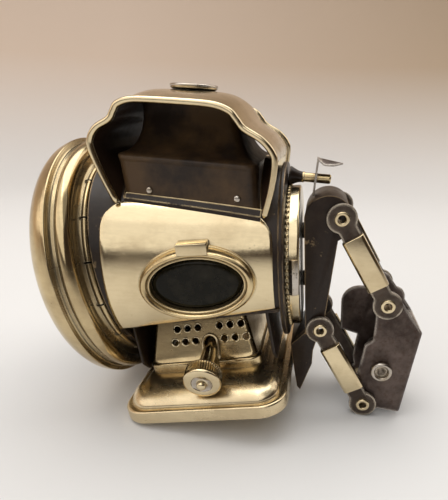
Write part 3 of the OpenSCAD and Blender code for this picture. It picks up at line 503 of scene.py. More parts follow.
def makeLens():
    t = np.radians(np.linspace(0, 90, 28))
    front = np.stack((lens["face"] * np.cos(t), lens["z"] - lens["bulge"] * np.sin(t)), -1)
    profile = np.vstack(([(0, lens["z"] + lens["thick"]), (lens["edge"], lens["z"] + lens["thick"]),
                          (lens["edge"], lens["z"])], front))
    makePiece("frontLens", [turned(profile, inRim)], [clearGlass], ["front_lens"])


# Side panels: ruled from the window's oval to the panel's outline and laid on the barrel's cone
panel = dict(z0=3.0, z1=72.0, top=31.0, corner=9.0, thick=0.5, floorZ=42.5, flueY=31.6, stepX=-44.9,
             spokes=240, steps=160, endSteps=60)
window = dict(x=-4.5, z=59.5, a=24.0, b=16.0, inset=2.5, ringW=5.2, ringT=4.2, lift=0.6, deep=7.0,
              glassT=2.2, sink=1.5, dome=0.25, brow=0.86, turns=144)
offAxis = np.array((window["x"] - lamp["barrelX"], window["z"] - lamp["axisH"]))
windowU = float(offAxis @ (cos(lamp["slope"]), -sin(lamp["slope"])))
windowV = float(offAxis @ (sin(lamp["slope"]), cos(lamp["slope"])))
flankR = barrelR(windowU)


def makePanel(side, node):
    # upper edge v(u): the lower of the panel's own top and the chimney's foot, with round corners
    p, n, m = panel, panel["steps"], panel["endSteps"]
    c, s = cos(lamp["slope"]), sin(lamp["slope"])
    u = p["z0"] + (p["z1"] - p["z0"]) * (1 - np.cos(np.linspace(0, np.pi, n))) / 2
    top = np.minimum(p["top"], np.sqrt(np.maximum(0, (barrelR(u) + 0.3) ** 2 - p["flueY"] ** 2)))
    inset = np.clip(p["corner"] - np.minimum(u - p["z0"], p["z1"] - u), 0, None)
    top = top - p["corner"] + np.sqrt(np.maximum(0, p["corner"] ** 2 - inset ** 2))
    low = (p["floorZ"] - lamp["axisH"] + u * s) / c
    ahead = (p["stepX"] - lamp["barrelX"] - low * s) / c
    under = np.stack((np.maximum(u, ahead), low), -1)
    outline = np.vstack((np.stack((u, top), -1)[::-1],
                         np.linspace((u[0], top[0]), under[0], m), under,
                         np.linspace(under[-1], (u[-1], top[-1]), m)))
    # spokes from the window's middle, with one at each corner of the outline
    spoke = outline - (windowU, windowV)
    angle = np.arctan2(spoke[:, 1], spoke[:, 0])
    order = np.argsort(angle)
    t = np.unique(np.concatenate((np.linspace(-np.pi, np.pi, p["spokes"], endpoint=False),
                                  angle[[n, n + m - 1, n + m, 2 * n + m - 1]])))
    reach = np.interp(t, angle[order], np.hypot(*spoke.T)[order], period=tau)
    oval = 1 / np.sqrt((np.cos(t) / (window["a"] - window["inset"])) ** 2
                       + (np.sin(t) / (window["b"] - window["inset"])) ** 2)
    # each spoke runs from the oval out over the panel's face, round its edge and back underneath
    share = np.concatenate(([0], np.linspace(0, 0.985, 14), [1, 1], np.linspace(1, 0.02, 12)))
    lift = lamp["fit"] + p["thick"] * np.concatenate(([0.2], np.ones(14), [0.6, 0], np.zeros(12)))
    radius = oval + (reach - oval) * share[:, None]
    pu, pv = windowU + radius * np.cos(t), windowV + radius * np.sin(t)
    y = side * np.sqrt(np.maximum(0, (barrelR(pu) + lift[:, None]) ** 2 - pv ** 2))
    makePiece(plainName(node), [part(inBarrel(pu, pv, y), rows=True)], [brass], [node], sharp=50)


# Side windows, in a plane that touches the barrel's flank; x runs rearward, y up, z outward
def atWindow(x, y, z, side):
    tilt = atan(taper)
    across = x * cos(tilt) + z * sin(tilt)
    out = flankR - x * sin(tilt) + z * cos(tilt)
    c, s = cos(lamp["slope"]), sin(lamp["slope"])
    return point(window["x"] + across * c + y * s, side * out, window["z"] - across * s + y * c)


def sag(x, y):  # how far the round flank falls away from that plane
    r, v = flankR - taper * x, y + windowV
    return (np.sqrt(r * r - v * v) - r) * cos(atan(taper))


def makeWindow(side, bezelNode, glassNode):
    # the bezel: a rolled section [inset, height, share of the sag] carried round the oval
    w, t = window["ringW"], window["ringT"]
    section = np.vstack((smooth([(0, 0, 1), (0.12, 0.9, 1), (0.5, 1.0, 0.9), (0.7, 2.2, 0.8), (1.4, 3.5, 0.5),
                                 (2.4, t, 0.2), (3.3, 3.9, 0.05), (3.95, 3.0, 0), (4.15, 2.3, 0),
                                 (4.45, 2.55, 0), (4.85, 2.4, 0), (w, 1.7, 0)], 4),
                         [(w, -window["deep"], 0), (w - 1.2, -window["deep"], 0), (w - 1.2, 0, 0)]))
    turn = fullTurn(window["turns"])[:, None]
    x = (window["a"] - section[:, 0]) * np.cos(turn)
    y = (window["b"] - section[:, 0]) * np.sin(turn)
    ring = atWindow(x, y, window["lift"] + section[:, 1] + section[:, 2] * sag(x, y), side)
    makePiece(plainName(bezelNode), [part(ring, rows=True)], [oldBrass], [bezelNode])
    # the glass: its half sizes shrink with the square of the height, so its face is domed
    k = np.linspace(1, 0, 14)[:, None]
    size = np.sqrt(1 - window["dome"] * k ** 2) * np.where(k == 1, window["brow"], 1)
    size = np.vstack(([[0]], size, [[0]]))
    height = np.vstack(([[1.04]], k, [[0]])) * window["glassT"] + window["lift"] - window["sink"]
    turn = turn.T
    a, b = window["a"] - w - 0.15, window["b"] - w - 0.15
    pane = atWindow(a * size * np.cos(turn), b * size * np.sin(turn), height + 0 * turn, side)
    makePiece(plainName(glassNode), [part(pane)], [sideGlass], [glassNode])


# Hood: a waisted outline carried across the lamp, crowned on top, its feet following the barrel
hood = dict(topHw=22.5, hw=36.0, footHw=30.0, h=41.5, hd=34.0, crown=5.0, wall=0.9, wire=1.25, waist=22.0,
            lift=2.6, rake=0.2, across=48)


def hoodLine(steps):
    h, t, w = hood["h"], hood["topHw"], hood["hw"]
    half = smooth([(0, h), (t - 8, h - 0.3), (t - 1.5, h - 2), (t + 1, h - 4.6), (t + 3.4, h - 7.6),
                   (w - 4, h - 11), (w - 0.6, h - 15), (w, h - 19), (w - 2.2, 12),
                   (hood["footHw"], 0)], steps)
    return np.vstack((half[:0:-1] * (-1, 1), half))


def crowned(line, y):  # [p, q] of the outline at the distance y across
    p, q = line[..., 0], line[..., 1]
    rise = np.clip((q - hood["h"] * 0.4) / (hood["h"] * 0.6), 0, None)
    r = np.where(p < 0, lamp["frontR"], lamp["rearR"] + 1)
    foot = np.sqrt(r * r - y * y) - np.sqrt(r * r - hood["hd"] ** 2) + hood["lift"]
    q = np.where(q < hood["waist"], foot + (hood["waist"] - foot) * q / hood["waist"],
                 q + hood["crown"] * rise ** 2 * (1 - (y / hood["hd"]) ** 2))
    return inHood(p - hood["rake"] * q, y, q)


def makeHood():
    outer = hoodLine(7)
    along = heading(outer)
    inner = outer + hood["wall"] * np.stack((along[:, 1], -along[:, 0]), -1)
    ring = np.vstack((outer, inner[::-1]))
    y = np.linspace(-hood["hd"], hood["hd"], hood["across"])[:, None]
    finish = np.concatenate((np.zeros(len(outer), int), np.ones(len(inner), int)))
    makePiece("hoodShell", [part(crowned(ring[None], y), ends="strip", finish=finish)], [brass, lining],
              ["hood"])
    wires = []
    for side in (near, far):
        edge = crowned(outer, np.full(len(outer), hood["hd"]))
        edge[:, 1] = side * (hood["hd"] + hood["wire"] + lamp["fit"])
        wires.append(part(tube(edge, hood["wire"]), ends="face"))
    makePiece("hoodWiredEdges", wires, [brass], ["hood_wired_edges"])


# Inner chimney: round rectangles that stand to a swaged crease, then draw in to the flue
chimney = dict(hx=28.0, hy=31.5, r=4.0, z0=1.2, crease=20.0, topHx=20.0, topHy=15.0, topZ=41.0, wall=1.0,
               swage=0.9, bend=1.4)


def makeChimney():
    # rows are [inset x, inset y, height]: upright, a swage on the long sides, then quarter ellipses inward
    c = chimney
    up, out = np.transpose([(-1.6, 0), (-0.9, 0.5), (-0.3, 1), (0.3, 1), (0.9, 0.5)])
    s = np.radians(np.linspace(6, 90, 16))
    bend = c["crease"] + c["bend"]
    swage = np.stack((0 * out, -c["swage"] * out, c["crease"] + up), -1)
    flue = np.stack(((c["hx"] - c["topHx"]) * np.sin(s), (c["hy"] - c["topHy"]) * np.sin(s),
                     bend + (c["topZ"] - bend) * (1 - np.cos(s))), -1)
    rows = np.vstack(([(0, 0, c["z0"])], swage, flue))
    rows = np.vstack((rows, rows[::-1] + (c["wall"], c["wall"], 0)))
    p, y, q = np.moveaxis(loftRows([(c["hx"] - i, c["hy"] - j, c["r"], z) for i, j, z in rows], 8), -1, 0)
    makePiece("innerChimney", [part(inHood(p - hood["rake"] * q, y, q), rows=True)], [sooted],
              ["inner_chimney"])


# Turned trim: the disc on the hood, the tail rod, the rivets of the chimney
trim = dict(discR=10.4, discQ=46.5, rodQ=14.6, rodP=35.0, rodEnd=53.5, rodR=2.0, rivetP=(-18.0, 18.0),
            rivetQ=8.0)


def makeTopDisc():
    r, top = trim["discR"], trim["discQ"]
    profile = np.vstack(([(0, 0), (r - 1.2, 0), (r - 0.3, 0.6)], arc((r - 0.7, 1.4), 0.7, 0, 90, 6),
                         smooth([(r - 1.6, 1.85), (r - 2.2, 1.8), (6, 2.2), (3, 2.5), (0, 2.6)], 5)))
    disc = turned(profile, lambda z, r, t: inHood(r * np.cos(t) - hood["rake"] * top, r * np.sin(t),
                                                  top + lamp["fit"] + z))
    makePiece("hoodTopDisc", [disc], [nickel], ["hood_top_disc"])


def makeTailRod():
    r, length = trim["rodR"], trim["rodEnd"] - trim["rodP"]
    root = np.vstack(([(0, 0.2), (2.2, 0.3)],
                      smooth([(4.0, 0.5), (4.1, 1.1), (3.3, 2.6), (2.6, 4.2), (2.2, 6)], 4)))
    profile = np.vstack((root, [(r + 0.3, 6.2), (r + 0.3, 6.9), (r, 7.1), (r, length - 1.0)],
                         arc((r - 0.8, length - 0.8), 0.8, 0, 90, 6), [(0, length)]))
    bare = (np.arange(len(profile)) >= len(root)).astype(int)
    rod = turned(profile, lambda z, r, t: inHood(trim["rodP"] + z, r * np.cos(t),
                                                 trim["rodQ"] + r * np.sin(t)), 40, finish=bare)
    makePiece("tailRod", [rod], [japan, oldBrass], ["hood_tail_rod"])


def makeChimneyRivets():
    profile = np.vstack(([(0, 0), (1.5, 0)], smooth([(1.5, 0.15), (1.25, 0.6), (0.75, 0.9), (0, 1)], 5)))
    wall = chimney["hy"] + lamp["fit"]
    heads = []
    for side in (near, far):
        for p in trim["rivetP"]:
            heads.append(turned(profile, lambda z, r, t: inHood(p + r * np.cos(t), side * (wall + z),
                                                                trim["rivetQ"] + r * np.sin(t)), 28))
    makePiece("chimneyRivetHeads", heads, [nickel], ["chimney_rivets"])


# Thumb latch: an upright leaf with a hole for the tail rod, bent over at the top into an arched thumb tab
latch = dict(p=46.5, thick=0.9, hw=5.0, low=7.6, top=23.0, hole=3.0, dip=radians(8), arch=1.9, tabThick=0.6)


def makeLatch():
    # upright: rings from the hole out to the plate's outline, on both faces
    t = fullTurn(64)
    reach = np.minimum(latch["hw"] / np.maximum(1e-6, np.abs(np.cos(t))),
                       np.where(np.sin(t) > 0, latch["top"] - trim["rodQ"], trim["rodQ"] - latch["low"])
                       / np.maximum(1e-6, np.abs(np.sin(t))))
    hole = np.full_like(t, latch["hole"])
    radius = np.stack((hole, reach - 0.15, reach, reach, reach - 0.15, hole))
    p = latch["p"] + latch["thick"] * np.array((0, 0, 0.15, 0.85, 1, 1))[:, None]
    plate = inHood(p + 0 * t, radius * np.cos(t), trim["rodQ"] + radius * np.sin(t))
    # tab: half width w(u) along it, sagging by the square of the distance across it
    line = smooth([(0, 5.0), (2.4, 4.9), (5, 4.7), (7.6, 3.9), (9.6, 2.3), (10.8, 0.7), (11.1, 0.15)], 5)
    across = np.concatenate((np.linspace(-1, 1, 13), np.linspace(1, -1, 13)))
    under = np.concatenate((np.zeros(13), np.full(13, latch["tabThick"])))
    u, w = line[:, :1], line[:, 1:]
    y = w * across
    fall = latch["arch"] * (y / latch["hw"]) ** 2 * np.minimum(1, u / 3) + u * sin(latch["dip"]) + under
    tab = inHood(latch["p"] + u + 0 * across, y, latch["top"] + 0.25 - fall)
    makePiece("thumbLatch", [part(plate, rows=True), part(tab, ends="strip")], [steel],
              ["thumb_latch"])


# Rear cap and its ring of beads, turned about an axis a little below the barrel's own
rear = dict(low=2.8, r=32.0, ringZ=76.0, ringT=1.5, depth=4.2, wall=1.2, round=1.0, beads=72, beadR=0.95)


def inCap(z, r, turn):
    return inBarrel(rear["ringZ"] + z, r * np.cos(turn) - rear["low"], r * np.sin(turn))


def makeBeadedRing():
    r = rear["r"]
    ring = [(r - 3, 0.1), (r, 0.1), (r, rear["ringT"]), (r - 3, rear["ringT"])]
    turn = fullTurn(rear["beads"])
    a, b = np.meshgrid(np.linspace(0, np.pi, 7), fullTurn(10), indexing="ij")
    ball = rear["beadR"] * point(np.cos(a), np.sin(a) * np.cos(b), np.sin(a) * np.sin(b))
    beads = [part(inCap(rear["ringT"] / 2 + ball[..., 0], r + ball[..., 1], t + ball[..., 2] / r))
             for t in turn]
    makePiece("beadedRing", [turned(ring, inCap, closed=True)] + beads, [oldBrass], ["beaded_ring"])


def makeRearCap():
    r, d, wall, rounding = rear["r"], rear["depth"], rear["wall"], rear["round"]
    shell = np.vstack(([(0, d - 0.25), (r * 0.6, d - 0.2), (r - 4.2, d - 0.1), (r - 3.4, d)],
                       arc((r - rounding, d - rounding), rounding, 90, 0, 8),
                       [(r, 0.25), (r - 0.2, 0.05), (r - wall, 0.05), (r - wall, d - wall), (0, d - wall)]))
    shell[:, 1] += rear["ringT"]
    makePiece("rearCapDrum", [turned(shell, inCap)], [brass], ["rear_cap"])


# Fount: a bright flange, a crevice, then a belly that swells up to the gallery's seat
fount = dict(hx=37.8, hy=51.5, r=12.0, flange=6.0, neck=3.0, seatHx=27.0, seatHy=31.5, shoulder=14.0,
             mouthHx=1.7, mouthHy=7.8, wall=1.2, pan=10.0, underCatch=12.0, endHx=29.2, roll=1.1)


def inFount(rows, steps=10):
    return loftRows(rows, steps) + (lamp["fountMid"], 0, 0)


def makeFount():
    f = fount
    over = arc((-f["roll"], f["flange"] - f["roll"]), f["roll"], 0, 90, 8)
    flange = np.vstack(([(-0.6, 0), (-0.2, 0.2), (0, 0.6), (0, 2.5)], over))
    rows = [(f["hx"] + i, f["hy"] + i, f["r"], z) for i, z in flange]
    rows += [(f["hx"] - 2.6, f["hy"] - 2.6, f["r"] - 1.6, f["flange"] - 0.2),
             (f["hx"] - 2.9, f["hy"] - 2.9, f["r"] - 1.8, f["flange"] - 0.1)]
    # belly, t of the way up: its ends swell in a quarter ellipse to just under the catch
    t = np.linspace(0, 1, 26)
    z0 = f["flange"] + 0.8
    z = z0 + (f["shoulder"] - z0) * (1 - (1 - t) ** 1.8)
    swell = np.clip((z - z0) / (f["underCatch"] - z0), 0, 1)
    seat = np.clip((z - f["underCatch"]) / (f["shoulder"] - f["underCatch"]), 0, 1)
    rows += np.stack((f["endHx"] + (f["hx"] - f["neck"] - f["endHx"]) * np.sqrt(1 - swell ** 2)
                      + (f["seatHx"] - f["endHx"]) * seat,
                      f["hy"] - f["neck"] - (f["hy"] - f["neck"] - f["seatHy"]) * t ** 1.25,
                      f["r"] - 2 - 4 * t, z), -1).tolist()
    rows += [(f["mouthHx"], f["mouthHy"], 0.4, f["shoulder"]),
             (f["mouthHx"], f["mouthHy"], 0.4, f["shoulder"] - f["wall"]),
             (f["seatHx"] - 3, f["seatHy"] - 3, 4, f["shoulder"] - f["wall"]),
             (f["hx"] - f["pan"], f["hy"] - f["pan"], 6, 0)]
    makePiece("fountBody", [part(inFount(rows), rows=True)], [fountBrass], ["fount_tank"], sharp=32)


# Burner gallery: a stepped base and sloping sides with air holes, their rims, and the winder's arch
gallery = dict(baseZ=14.05, stepZ=17.8, faceZ=19.4, topZ=40.0, hx=25.6, hy=29.6, topHx=21.5, topHy=22.0,
               wall=0.9, tubeHx=3.55, tubeHy=9.05, corner=2.2, seatCorner=6.0, stepR=1.4, roll=1.2,
               holeR=1.7, rows=((0.66, 5.2), (0.38, 6.9)), pitch=5.1, rolled=0.32, rolledH=0.34,
               through=(-3, 3), slotX=-9.5, slotR=3.5, slotY=(-40, -10), slotZ=12.0, archZ=26.0, collar=0.75)


def galleryFace(t):  # half sizes and height on the sloping sides, t of the way up
    g = gallery
    return (g["hx"] + (g["topHx"] - g["hx"]) * t, g["hy"] + (g["topHy"] - g["hy"]) * t,
            g["faceZ"] + (g["topZ"] - g["faceZ"]) * t)


def gallerySkin(inset):  # rows of the gallery's outside, or of its inside, from the seat up to the wick tube
    g = gallery
    hx, hy, corner = fount["seatHx"] - inset, fount["seatHy"] - inset, g["seatCorner"]
    rows = [(hx, hy, corner, g["baseZ"]), (hx, hy, corner, g["stepZ"] - 0.8)]
    for a in np.radians(np.linspace(0, 80, 7)):
        back = g["stepR"] * (1 - cos(a))
        rows.append((hx - back, hy - back, corner, g["stepZ"] - 0.4 + g["stepR"] * sin(a)))
    rows.append((g["hx"] - inset + 0.15, g["hy"] - inset + 0.25, g["corner"] + 1, g["faceZ"] - inset / 2))
    for t in np.linspace(0.06, 0.94, 8):
        hx, hy, z = galleryFace(t)
        rows.append((hx - inset, hy - inset, g["corner"], z - inset / 2))
    for a in np.radians((40, 65, 90)):
        back = inset + a * 0.8
        rows.append((g["topHx"] - back, g["topHy"] - back, g["corner"],
                     g["topZ"] - inset - g["roll"] * (1 - sin(a))))
    return rows + [(g["tubeHx"], g["tubeHy"], 0.4, g["topZ"] - inset)]


def cutPiece(piece, parts):  # a piece's mesh less some closed grids, its flat faces shaded flat
    cutter = makePiece("cutter", parts, [], [], bodyOf["burner_gallery"])
    tool = piece.modifiers.new("holes", "BOOLEAN")
    tool.operation, tool.solver, tool.object = "DIFFERENCE", "EXACT", cutter
    bpy.context.view_layer.update()
    cut = bpy.data.meshes.new_from_object(piece.evaluated_get(bpy.context.evaluated_depsgraph_get()))
    piece.modifiers.clear()
    piece.data = cut
    bpy.data.objects.remove(cutter)
    level = piece.modifiers.new("flatFaces", "WEIGHTED_NORMAL")
    level.keep_sharp, level.weight = True, 100


def makeGallery():
    g = gallery
    skins = gallerySkin(0) + gallerySkin(g["wall"])[::-1]
    piece = makePiece("burnerGallery", [part(inFount(skins, 8), rows=True)], [oldBrass],
                      ["burner_gallery"], sharp=32)
    # holes are round about out, the sloping side's normal; their rims are small rolled rings
    lean = atan2(g["hy"] - g["topHy"], g["topZ"] - g["faceZ"])
    out, up = np.array((0, cos(lean), sin(lean))), np.array((0, -sin(lean), cos(lean)))
    turn = fullTurn(28)[:, None]
    circle = np.cos(turn) * (1, 0, 0) + np.sin(turn) * up
    b = fullTurn(8)[:, None, None]
    ring = (g["holeR"] + 0.12 + g["rolled"] * np.cos(b)) * circle + g["rolledH"] * np.sin(b) * out
    holes, rims = [], []
    for side in (near, far):
        flip = np.array((1, side, 1))
        for height, first in g["rows"]:
            half, z = galleryFace(height)[1:]
            for x in [g["slotX"] + k * (first + j * g["pitch"]) for k in (-1, 1) for j in range(3)]:
                centre = np.array((x, half, z))
                hole = [(centre + g["holeR"] * circle + out * depth) * flip for depth in g["through"]]
                holes.append(part(np.stack(hole), ends="face"))
                rims.append(part((centre + ring) * flip, rows=True))
    # the winder's arch, open below, and its collar on the near side
    r, top = g["slotR"], g["archZ"]
    bow = arc((0, top), r, 0, 180, 24)
    arch = np.vstack(([(r, g["slotZ"])], bow, [(-r, g["slotZ"])]))
    slot = [point(g["slotX"] + arch[:, 0], y, arch[:, 1]) for y in g["slotY"]]
    cutPiece(piece, holes + [part(np.stack(slot), ends="face")])
    legs = np.linspace((r, g["faceZ"] - 1), (r, top), 8)[:-1]
    path = np.vstack((legs, bow, legs[::-1] * (-1, 1)))
    half = galleryFace((path[:, 1] - g["faceZ"]) / (g["topZ"] - g["faceZ"]))[1]
    path = point(g["slotX"] + path[:, 0], -half - 0.25, path[:, 1])
    makePiece("airHoleRims", rims + [part(tube(path, g["collar"]), ends="face")], [brass], [],
              bodyOf["burner_gallery"])


# Winder's knob: a rim knurled by a cosine, a plain face with a nickel ring and a domed centre, a tapered hub
knob = dict(x=-9.5, y=-50.6, z=18.2, drop=radians(16), r=8.2, thick=7.0, hub=20.0, knurls=48, depth=0.34)


def inWinder(x, y, z):
    c, s = cos(knob["drop"]), sin(knob["drop"])
    return point(knob["x"] + x, knob["y"] + y * s + z * c, knob["z"] - y * c + z * s)


def makeKnob():
    r, t = knob["r"], knob["thick"]
    dome = smooth([(0, -2.5), (1.0, -2.35), (1.8, -1.8), (2.1, -0.9), (2.2, 0.1)], 5)
    ring = np.array([(2.5, 0.35), (3.0, 0.4), (4.2, 0.4), (4.5, 0.2)])
    face = np.vstack((dome, ring, [(4.7, -0.2), (5.0, -0.3), (r - 1.1, -0.25)],
                      smooth([(r - 0.8, -0.15), (r - 0.4, 0.1), (r - 0.12, 0.45), (r, 0.9)], 4)))
    side = np.linspace((r, 1.2), (r, t - 1.2), 6)
    hub = knob["hub"]
    back = np.vstack((smooth([(r, t - 0.9), (r - 0.3, t - 0.2), (r - 0.9, t)], 4), [(4.4, t)],
                      smooth([(4.1, t + 0.4), (3.9, t + 1.2), (3.7, t + 3), (3.1, hub - 0.4), (2.9, hub)], 4),
                      [(0, hub)]))
    profile = np.vstack((face, side, back))
    plated = np.zeros(len(profile), int)
    plated[len(dome):len(dome) + len(ring)] = 1
    knurled = np.concatenate((np.zeros(len(face)), [0.4, 1, 1, 1, 1, 0.4], np.zeros(len(back))))
    turn = fullTurn(knob["knurls"] * 6)[:, None]
    radius = profile[:, 0] - knurled * knob["depth"] * (1 - np.cos(turn * knob["knurls"])) / 2
    grid = inWinder(radius * np.cos(turn), radius * np.sin(turn), profile[:, 1] + 0 * turn)
    makePiece("winderKnob", [part(grid, rows=True, columns=False, finish=plated)], [brass, nickel],
              ["winder_knob"])


# Parallel-link bracket, and its hollow rivets: a rolled head outside the link, a flat one inside the channel
bracket = dict(linkLen=43.6, linkAngle=radians(20.3), pivotH=51.6, lean=radians(16.8), armHy=14.6, armT=2.0,
               linkT=2.0, gap=0.3, armZ=83.3, armFace=15.6, headH=15.2)
rivet = dict(r=2.3, head=3.1, bore=1.6, flat=0.9, roll=0.55, lip=0.5)


def pivots():  # the parallelogram's corners: the arm's upper and lower, then the socket's
    b = bracket
    upper = inBarrel(b["armZ"], b["headH"], 0)[[0, 2]] + (b["armFace"], 0)
    lower = upper - b["pivotH"] * np.array((sin(b["lean"]), cos(b["lean"])))
    run = b["linkLen"] * np.array((sin(b["linkAngle"]), -cos(b["linkAngle"])))
    return dict(arm=(upper, lower), socket=(upper + run, lower + run))


def makeRivets(name, node, places):
    b, v = bracket, rivet
    seat = b["armHy"] + b["gap"] + b["linkT"] + lamp["fit"]
    inner = b["armHy"] - b["armT"] - lamp["fit"]
    foot = b["armHy"] - b["armT"] - v["flat"]
    profile = np.vstack(([(v["bore"], foot), (v["head"], foot), (v["head"], inner), (v["r"], inner),
                          (v["r"], seat), (v["head"], seat)],
                         arc((v["head"] - v["roll"], seat + 0.45), v["roll"], 0, 80, 6),
                         arc((v["bore"] + v["lip"], seat + v["lip"]), v["lip"], 90, 180, 6)))
    heads = [turned(profile, crosswise(*at, side), 48, closed=True) for at in places for side in (near, far)]
    makePiece(name, heads, [brass], [node])


# Clamp bolt: a plain shank, a dished head with a rolled ring and a domed middle
bolt = dict(up=18.8, back=4.6, r=3.0, tail=20.6, head=4.8)


def makeBolt():
    b, lean = bolt, bracket["lean"]
    foot = pivots()["socket"][1]
    x = foot[0] + b["up"] * sin(lean) + b["back"] * cos(lean)
    z = foot[1] + b["up"] * cos(lean) - b["back"] * sin(lean)
    seat = bracket["armHy"] + lamp["fit"]
    shank = [(0, -b["tail"]), (b["r"] - 0.5, -b["tail"]), (b["r"], 0.5 - b["tail"]), (b["r"], seat)]
    ring = np.vstack(([(b["head"], seat)], arc((b["head"] - 0.9, seat + 1.7), 0.9, 0, 170, 12)))
    middle = smooth([(2.6, seat + 1.1), (2.1, seat + 1.15), (1.7, seat + 1.7), (1.0, seat + 2.3),
                     (0, seat + 2.5)], 4)
    profile = np.vstack((shank, ring, middle))
    bright = np.zeros(len(profile), int)
    bright[len(shank):len(shank) + len(ring)] = 1
    makePiece("clampBolt", [turned(profile, crosswise(x, z, near), 48, finish=bright)], [linkSteel, nickel],
              ["clamp_bolt"])


# Housing's front edge: the circle's segment below the barrel's floor, just behind the rim's skirt
edge = dict(r=45.2, z=(14.0, 14.6), under=0.4)


def makeHousingEdge():
    ends = np.arccos((panel["floorZ"] - edge["under"] - lamp["axisH"]) / edge["r"])
    turn = np.linspace(ends, tau - ends, 60)
    grid = np.stack([inRim(z, edge["r"], turn) for z in edge["z"]])
    makePiece("housingFrontEdge", [part(grid, ends="face")], [japan], [],
              bodyOf["lower_housing"])


# Nodes that keep their own outline, with the edges rounded over: node, finish, slot, width, bend
softened = [("bracket_arm", wornJapan, "black_japan", 0.6, 2.4), ("socket_bracket", steel, "steel", 0.6, 2.8),
            ("clamp_nut", steel, "steel", 0.4), ("lower_housing", japan, "black_japan", 0.4),
            ("window_clips", brass, "brass", 0.3), ("rear_plate", japan, "black_japan", 0.4),
            ("rear_clip", nickel, "nickel", 0.3), ("spacer_studs", japan, "black_japan", 0.2),
            ("fount_catch", nickel, "nickel", 0.2), ("fount_base_plate", oldBrass, "brass", 0.3)]
for level in ("upper", "lower"):
    for side in ("near", "far"):
        softened += [(f"{side}_{level}_link", linkSteel, "steel", 0.5),
                     (f"{side}_{level}_sleeve", brass, "brass", 0.35)]

# Nodes whose own shape is right keep it and take a finish
kept = {"barrel": japan, "chimney_saddle": saddleBlack, "lens_retaining_ring": oldBrass, "reflector": mirror,
        "wick_tube": oldBrass, "wick": cotton, "winder_shaft": oldBrass, "wick_wheel": oldBrass}


def dressFrame():
    for settings in softened:
        softenNode(*settings)
    for node, finish in kept.items():
        nodes[node].data.materials.clear()
        nodes[node].data.materials.append(finish)


makeRim()
makeLens()
for side, name in ((near, "near"), (far, "far")):
    makePanel(side, name + "_side_panel")
    makeWindow(side, name + "_side_bezel", name + "_side_glass")
print("rim, lens, panels and windows made")
makeHood()
makeChimney()
makeTopDisc()
makeTailRod()
makeChimneyRivets()
makeLatch()
makeBeadedRing()
makeRearCap()
print("hood, chimney and rear made")
makeFount()
makeGallery()
makeKnob()
print("fount and burner made")
corners = pivots()
makeRivets("armRivets", "arm_rivets", corners["arm"])
makeRivets("socketRivets", "socket_rivets", corners["socket"])
makeBolt()
makeHousingEdge()
dressFrame()
print("bracket and frame dressed")


# Studio, in metres: a pale floor that curves up into a warm wall all round, with painted shade on the wall,
# soft lamps aimed at the middle
studio = dict(floorR=0.7, wallR=1.2, wallH=1.3, turns=96, floor=rgb(226, 227, 228), wall=rgb(222, 203, 186),
              shade=rgb(172, 150, 122), dark=rgb(54, 42, 34), sky=rgb(236, 232, 226), skyPower=0.42,
              aim=(0.0, 0.0, 0.07))
lamps = dict(
    windowLight=dict(place=(-0.38, -0.5, 0.7), size=(1.7, 0.95), power=5.6, tint=rgb(255, 252, 248)),
    rearFill=dict(place=(0.6, 0.5, 0.7), size=(0.8, 0.8), power=2.8, tint=rgb(255, 251, 246)),
    overhead=dict(place=(-0.1, 0.15, 1.0), size=(1.0, 0.8), power=6.6, tint=rgb(255, 252, 248)))


def makeStudio():
    # the cove's [radius, height] carried round a full turn, its faces towards the lamp
    s = studio
    cove = np.vstack(([(0, 0), (0.3, 0), (s["floorR"], 0)],
                      arc((s["floorR"], s["wallR"] - s["floorR"]), s["wallR"] - s["floorR"], -82, 0, 14),
                      [(s["wallR"], s["wallH"])]))
    bowlPart = turned(cove, lambda z, r, t: point(r * np.cos(t), r * np.sin(t), z), s["turns"])
    mesh = bpy.data.meshes.new("studioBowl")
    mesh.from_pydata(bowlPart["grid"].reshape(-1, 3), [], [face[::-1] for face in gridFaces(bowlPart)[0]])
    weld(mesh)
    mesh.shade_smooth()
    f = Finish("studioPaint")
    across, depth, height = (f.node("SeparateXYZ", {}, {0: f.place}, k) for k in range(3))
    # painted shade on the wall: darker towards +x, and dark on the camera's side, more so towards +x, for the
    # brass to reflect
    wall = across.span(-0.5, 0.7).tint(s["wall"], s["shade"])
    wall = (depth - across * 0.5).span(-0.75, 0.35).tint(s["dark"], wall)
    colour = height.span(0.0, 0.25).tint(s["floor"], wall)
    mesh.materials.append(f.close({"Base Color": colour, "Roughness": 0.75}))
    bowl = addObject("studioBowl", mesh)


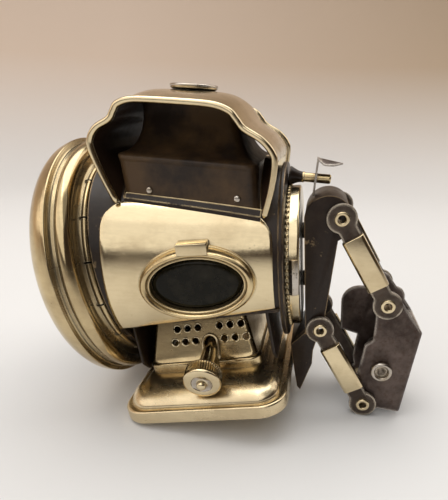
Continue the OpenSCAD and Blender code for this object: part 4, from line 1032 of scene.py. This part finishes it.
def addLamp(name, place, size, power, tint):
    glow = bpy.data.lights.new(name, "AREA")
    glow.shape, glow.size, glow.size_y = "RECTANGLE", size[0], size[1]
    glow.energy, glow.color = power, tint[:3]
    light = addObject(name, glow)
    light.location = place
    light.visible_camera = False
    back = np.array(place) - studio["aim"]
    z = back / np.linalg.norm(back)
    x = np.cross((0, 0, 1), z) / np.linalg.norm(np.cross((0, 0, 1), z))
    light.rotation_euler = Matrix(np.stack((x, np.cross(z, x), z), -1).tolist()).to_euler()


# Camera, fitted to the photograph: lamp millimetres and radians, but metres for the nearest thing it sees
view = dict(at=(51.81, -206.03, 112.2), yaw=-0.278, pitch=0.349, roll=-0.209, lens=32.29, sensor=36.0,
            shiftY=0.106, nearest=0.005)


def makeCamera():
    # looks along f in lamp coordinates, rolled about it, then turned with the lamp's stance
    yaw, pitch, roll = view["yaw"], view["pitch"], view["roll"]
    f = np.array((sin(yaw) * cos(pitch), cos(yaw) * cos(pitch), -sin(pitch)))
    r = np.array((cos(yaw), -sin(yaw), 0))
    u = np.cross(r, f)
    right, up = cos(roll) * r + sin(roll) * u, -sin(roll) * r + cos(roll) * u
    axes = [stand(1000 * v) - stand((0, 0, 0)) for v in (right, up, -f)]
    camera = addObject("camera", bpy.data.cameras.new("camera"))
    place = Matrix(np.stack(axes, -1).tolist()).to_4x4()
    place.translation = stand(view["at"])
    camera.matrix_world = place
    camera.data.lens, camera.data.sensor_width = view["lens"], view["sensor"]
    camera.data.shift_y = view["shiftY"]
    camera.data.clip_start = view["nearest"]
    bpy.context.scene.camera = camera


def makeWorld():
    world = bpy.data.worlds.new("softRoom")
    bpy.context.scene.world = world
    world.use_nodes = True
    backdrop = world.node_tree.nodes["Background"]
    backdrop.inputs["Color"].default_value = studio["sky"]
    backdrop.inputs["Strength"].default_value = studio["skyPower"]


makeStudio()
makeWorld()
for name, settings in lamps.items():
    addLamp(name, **settings)
makeCamera()
bpy.context.scene.view_settings.view_transform = "Standard"
print("studio and camera made")
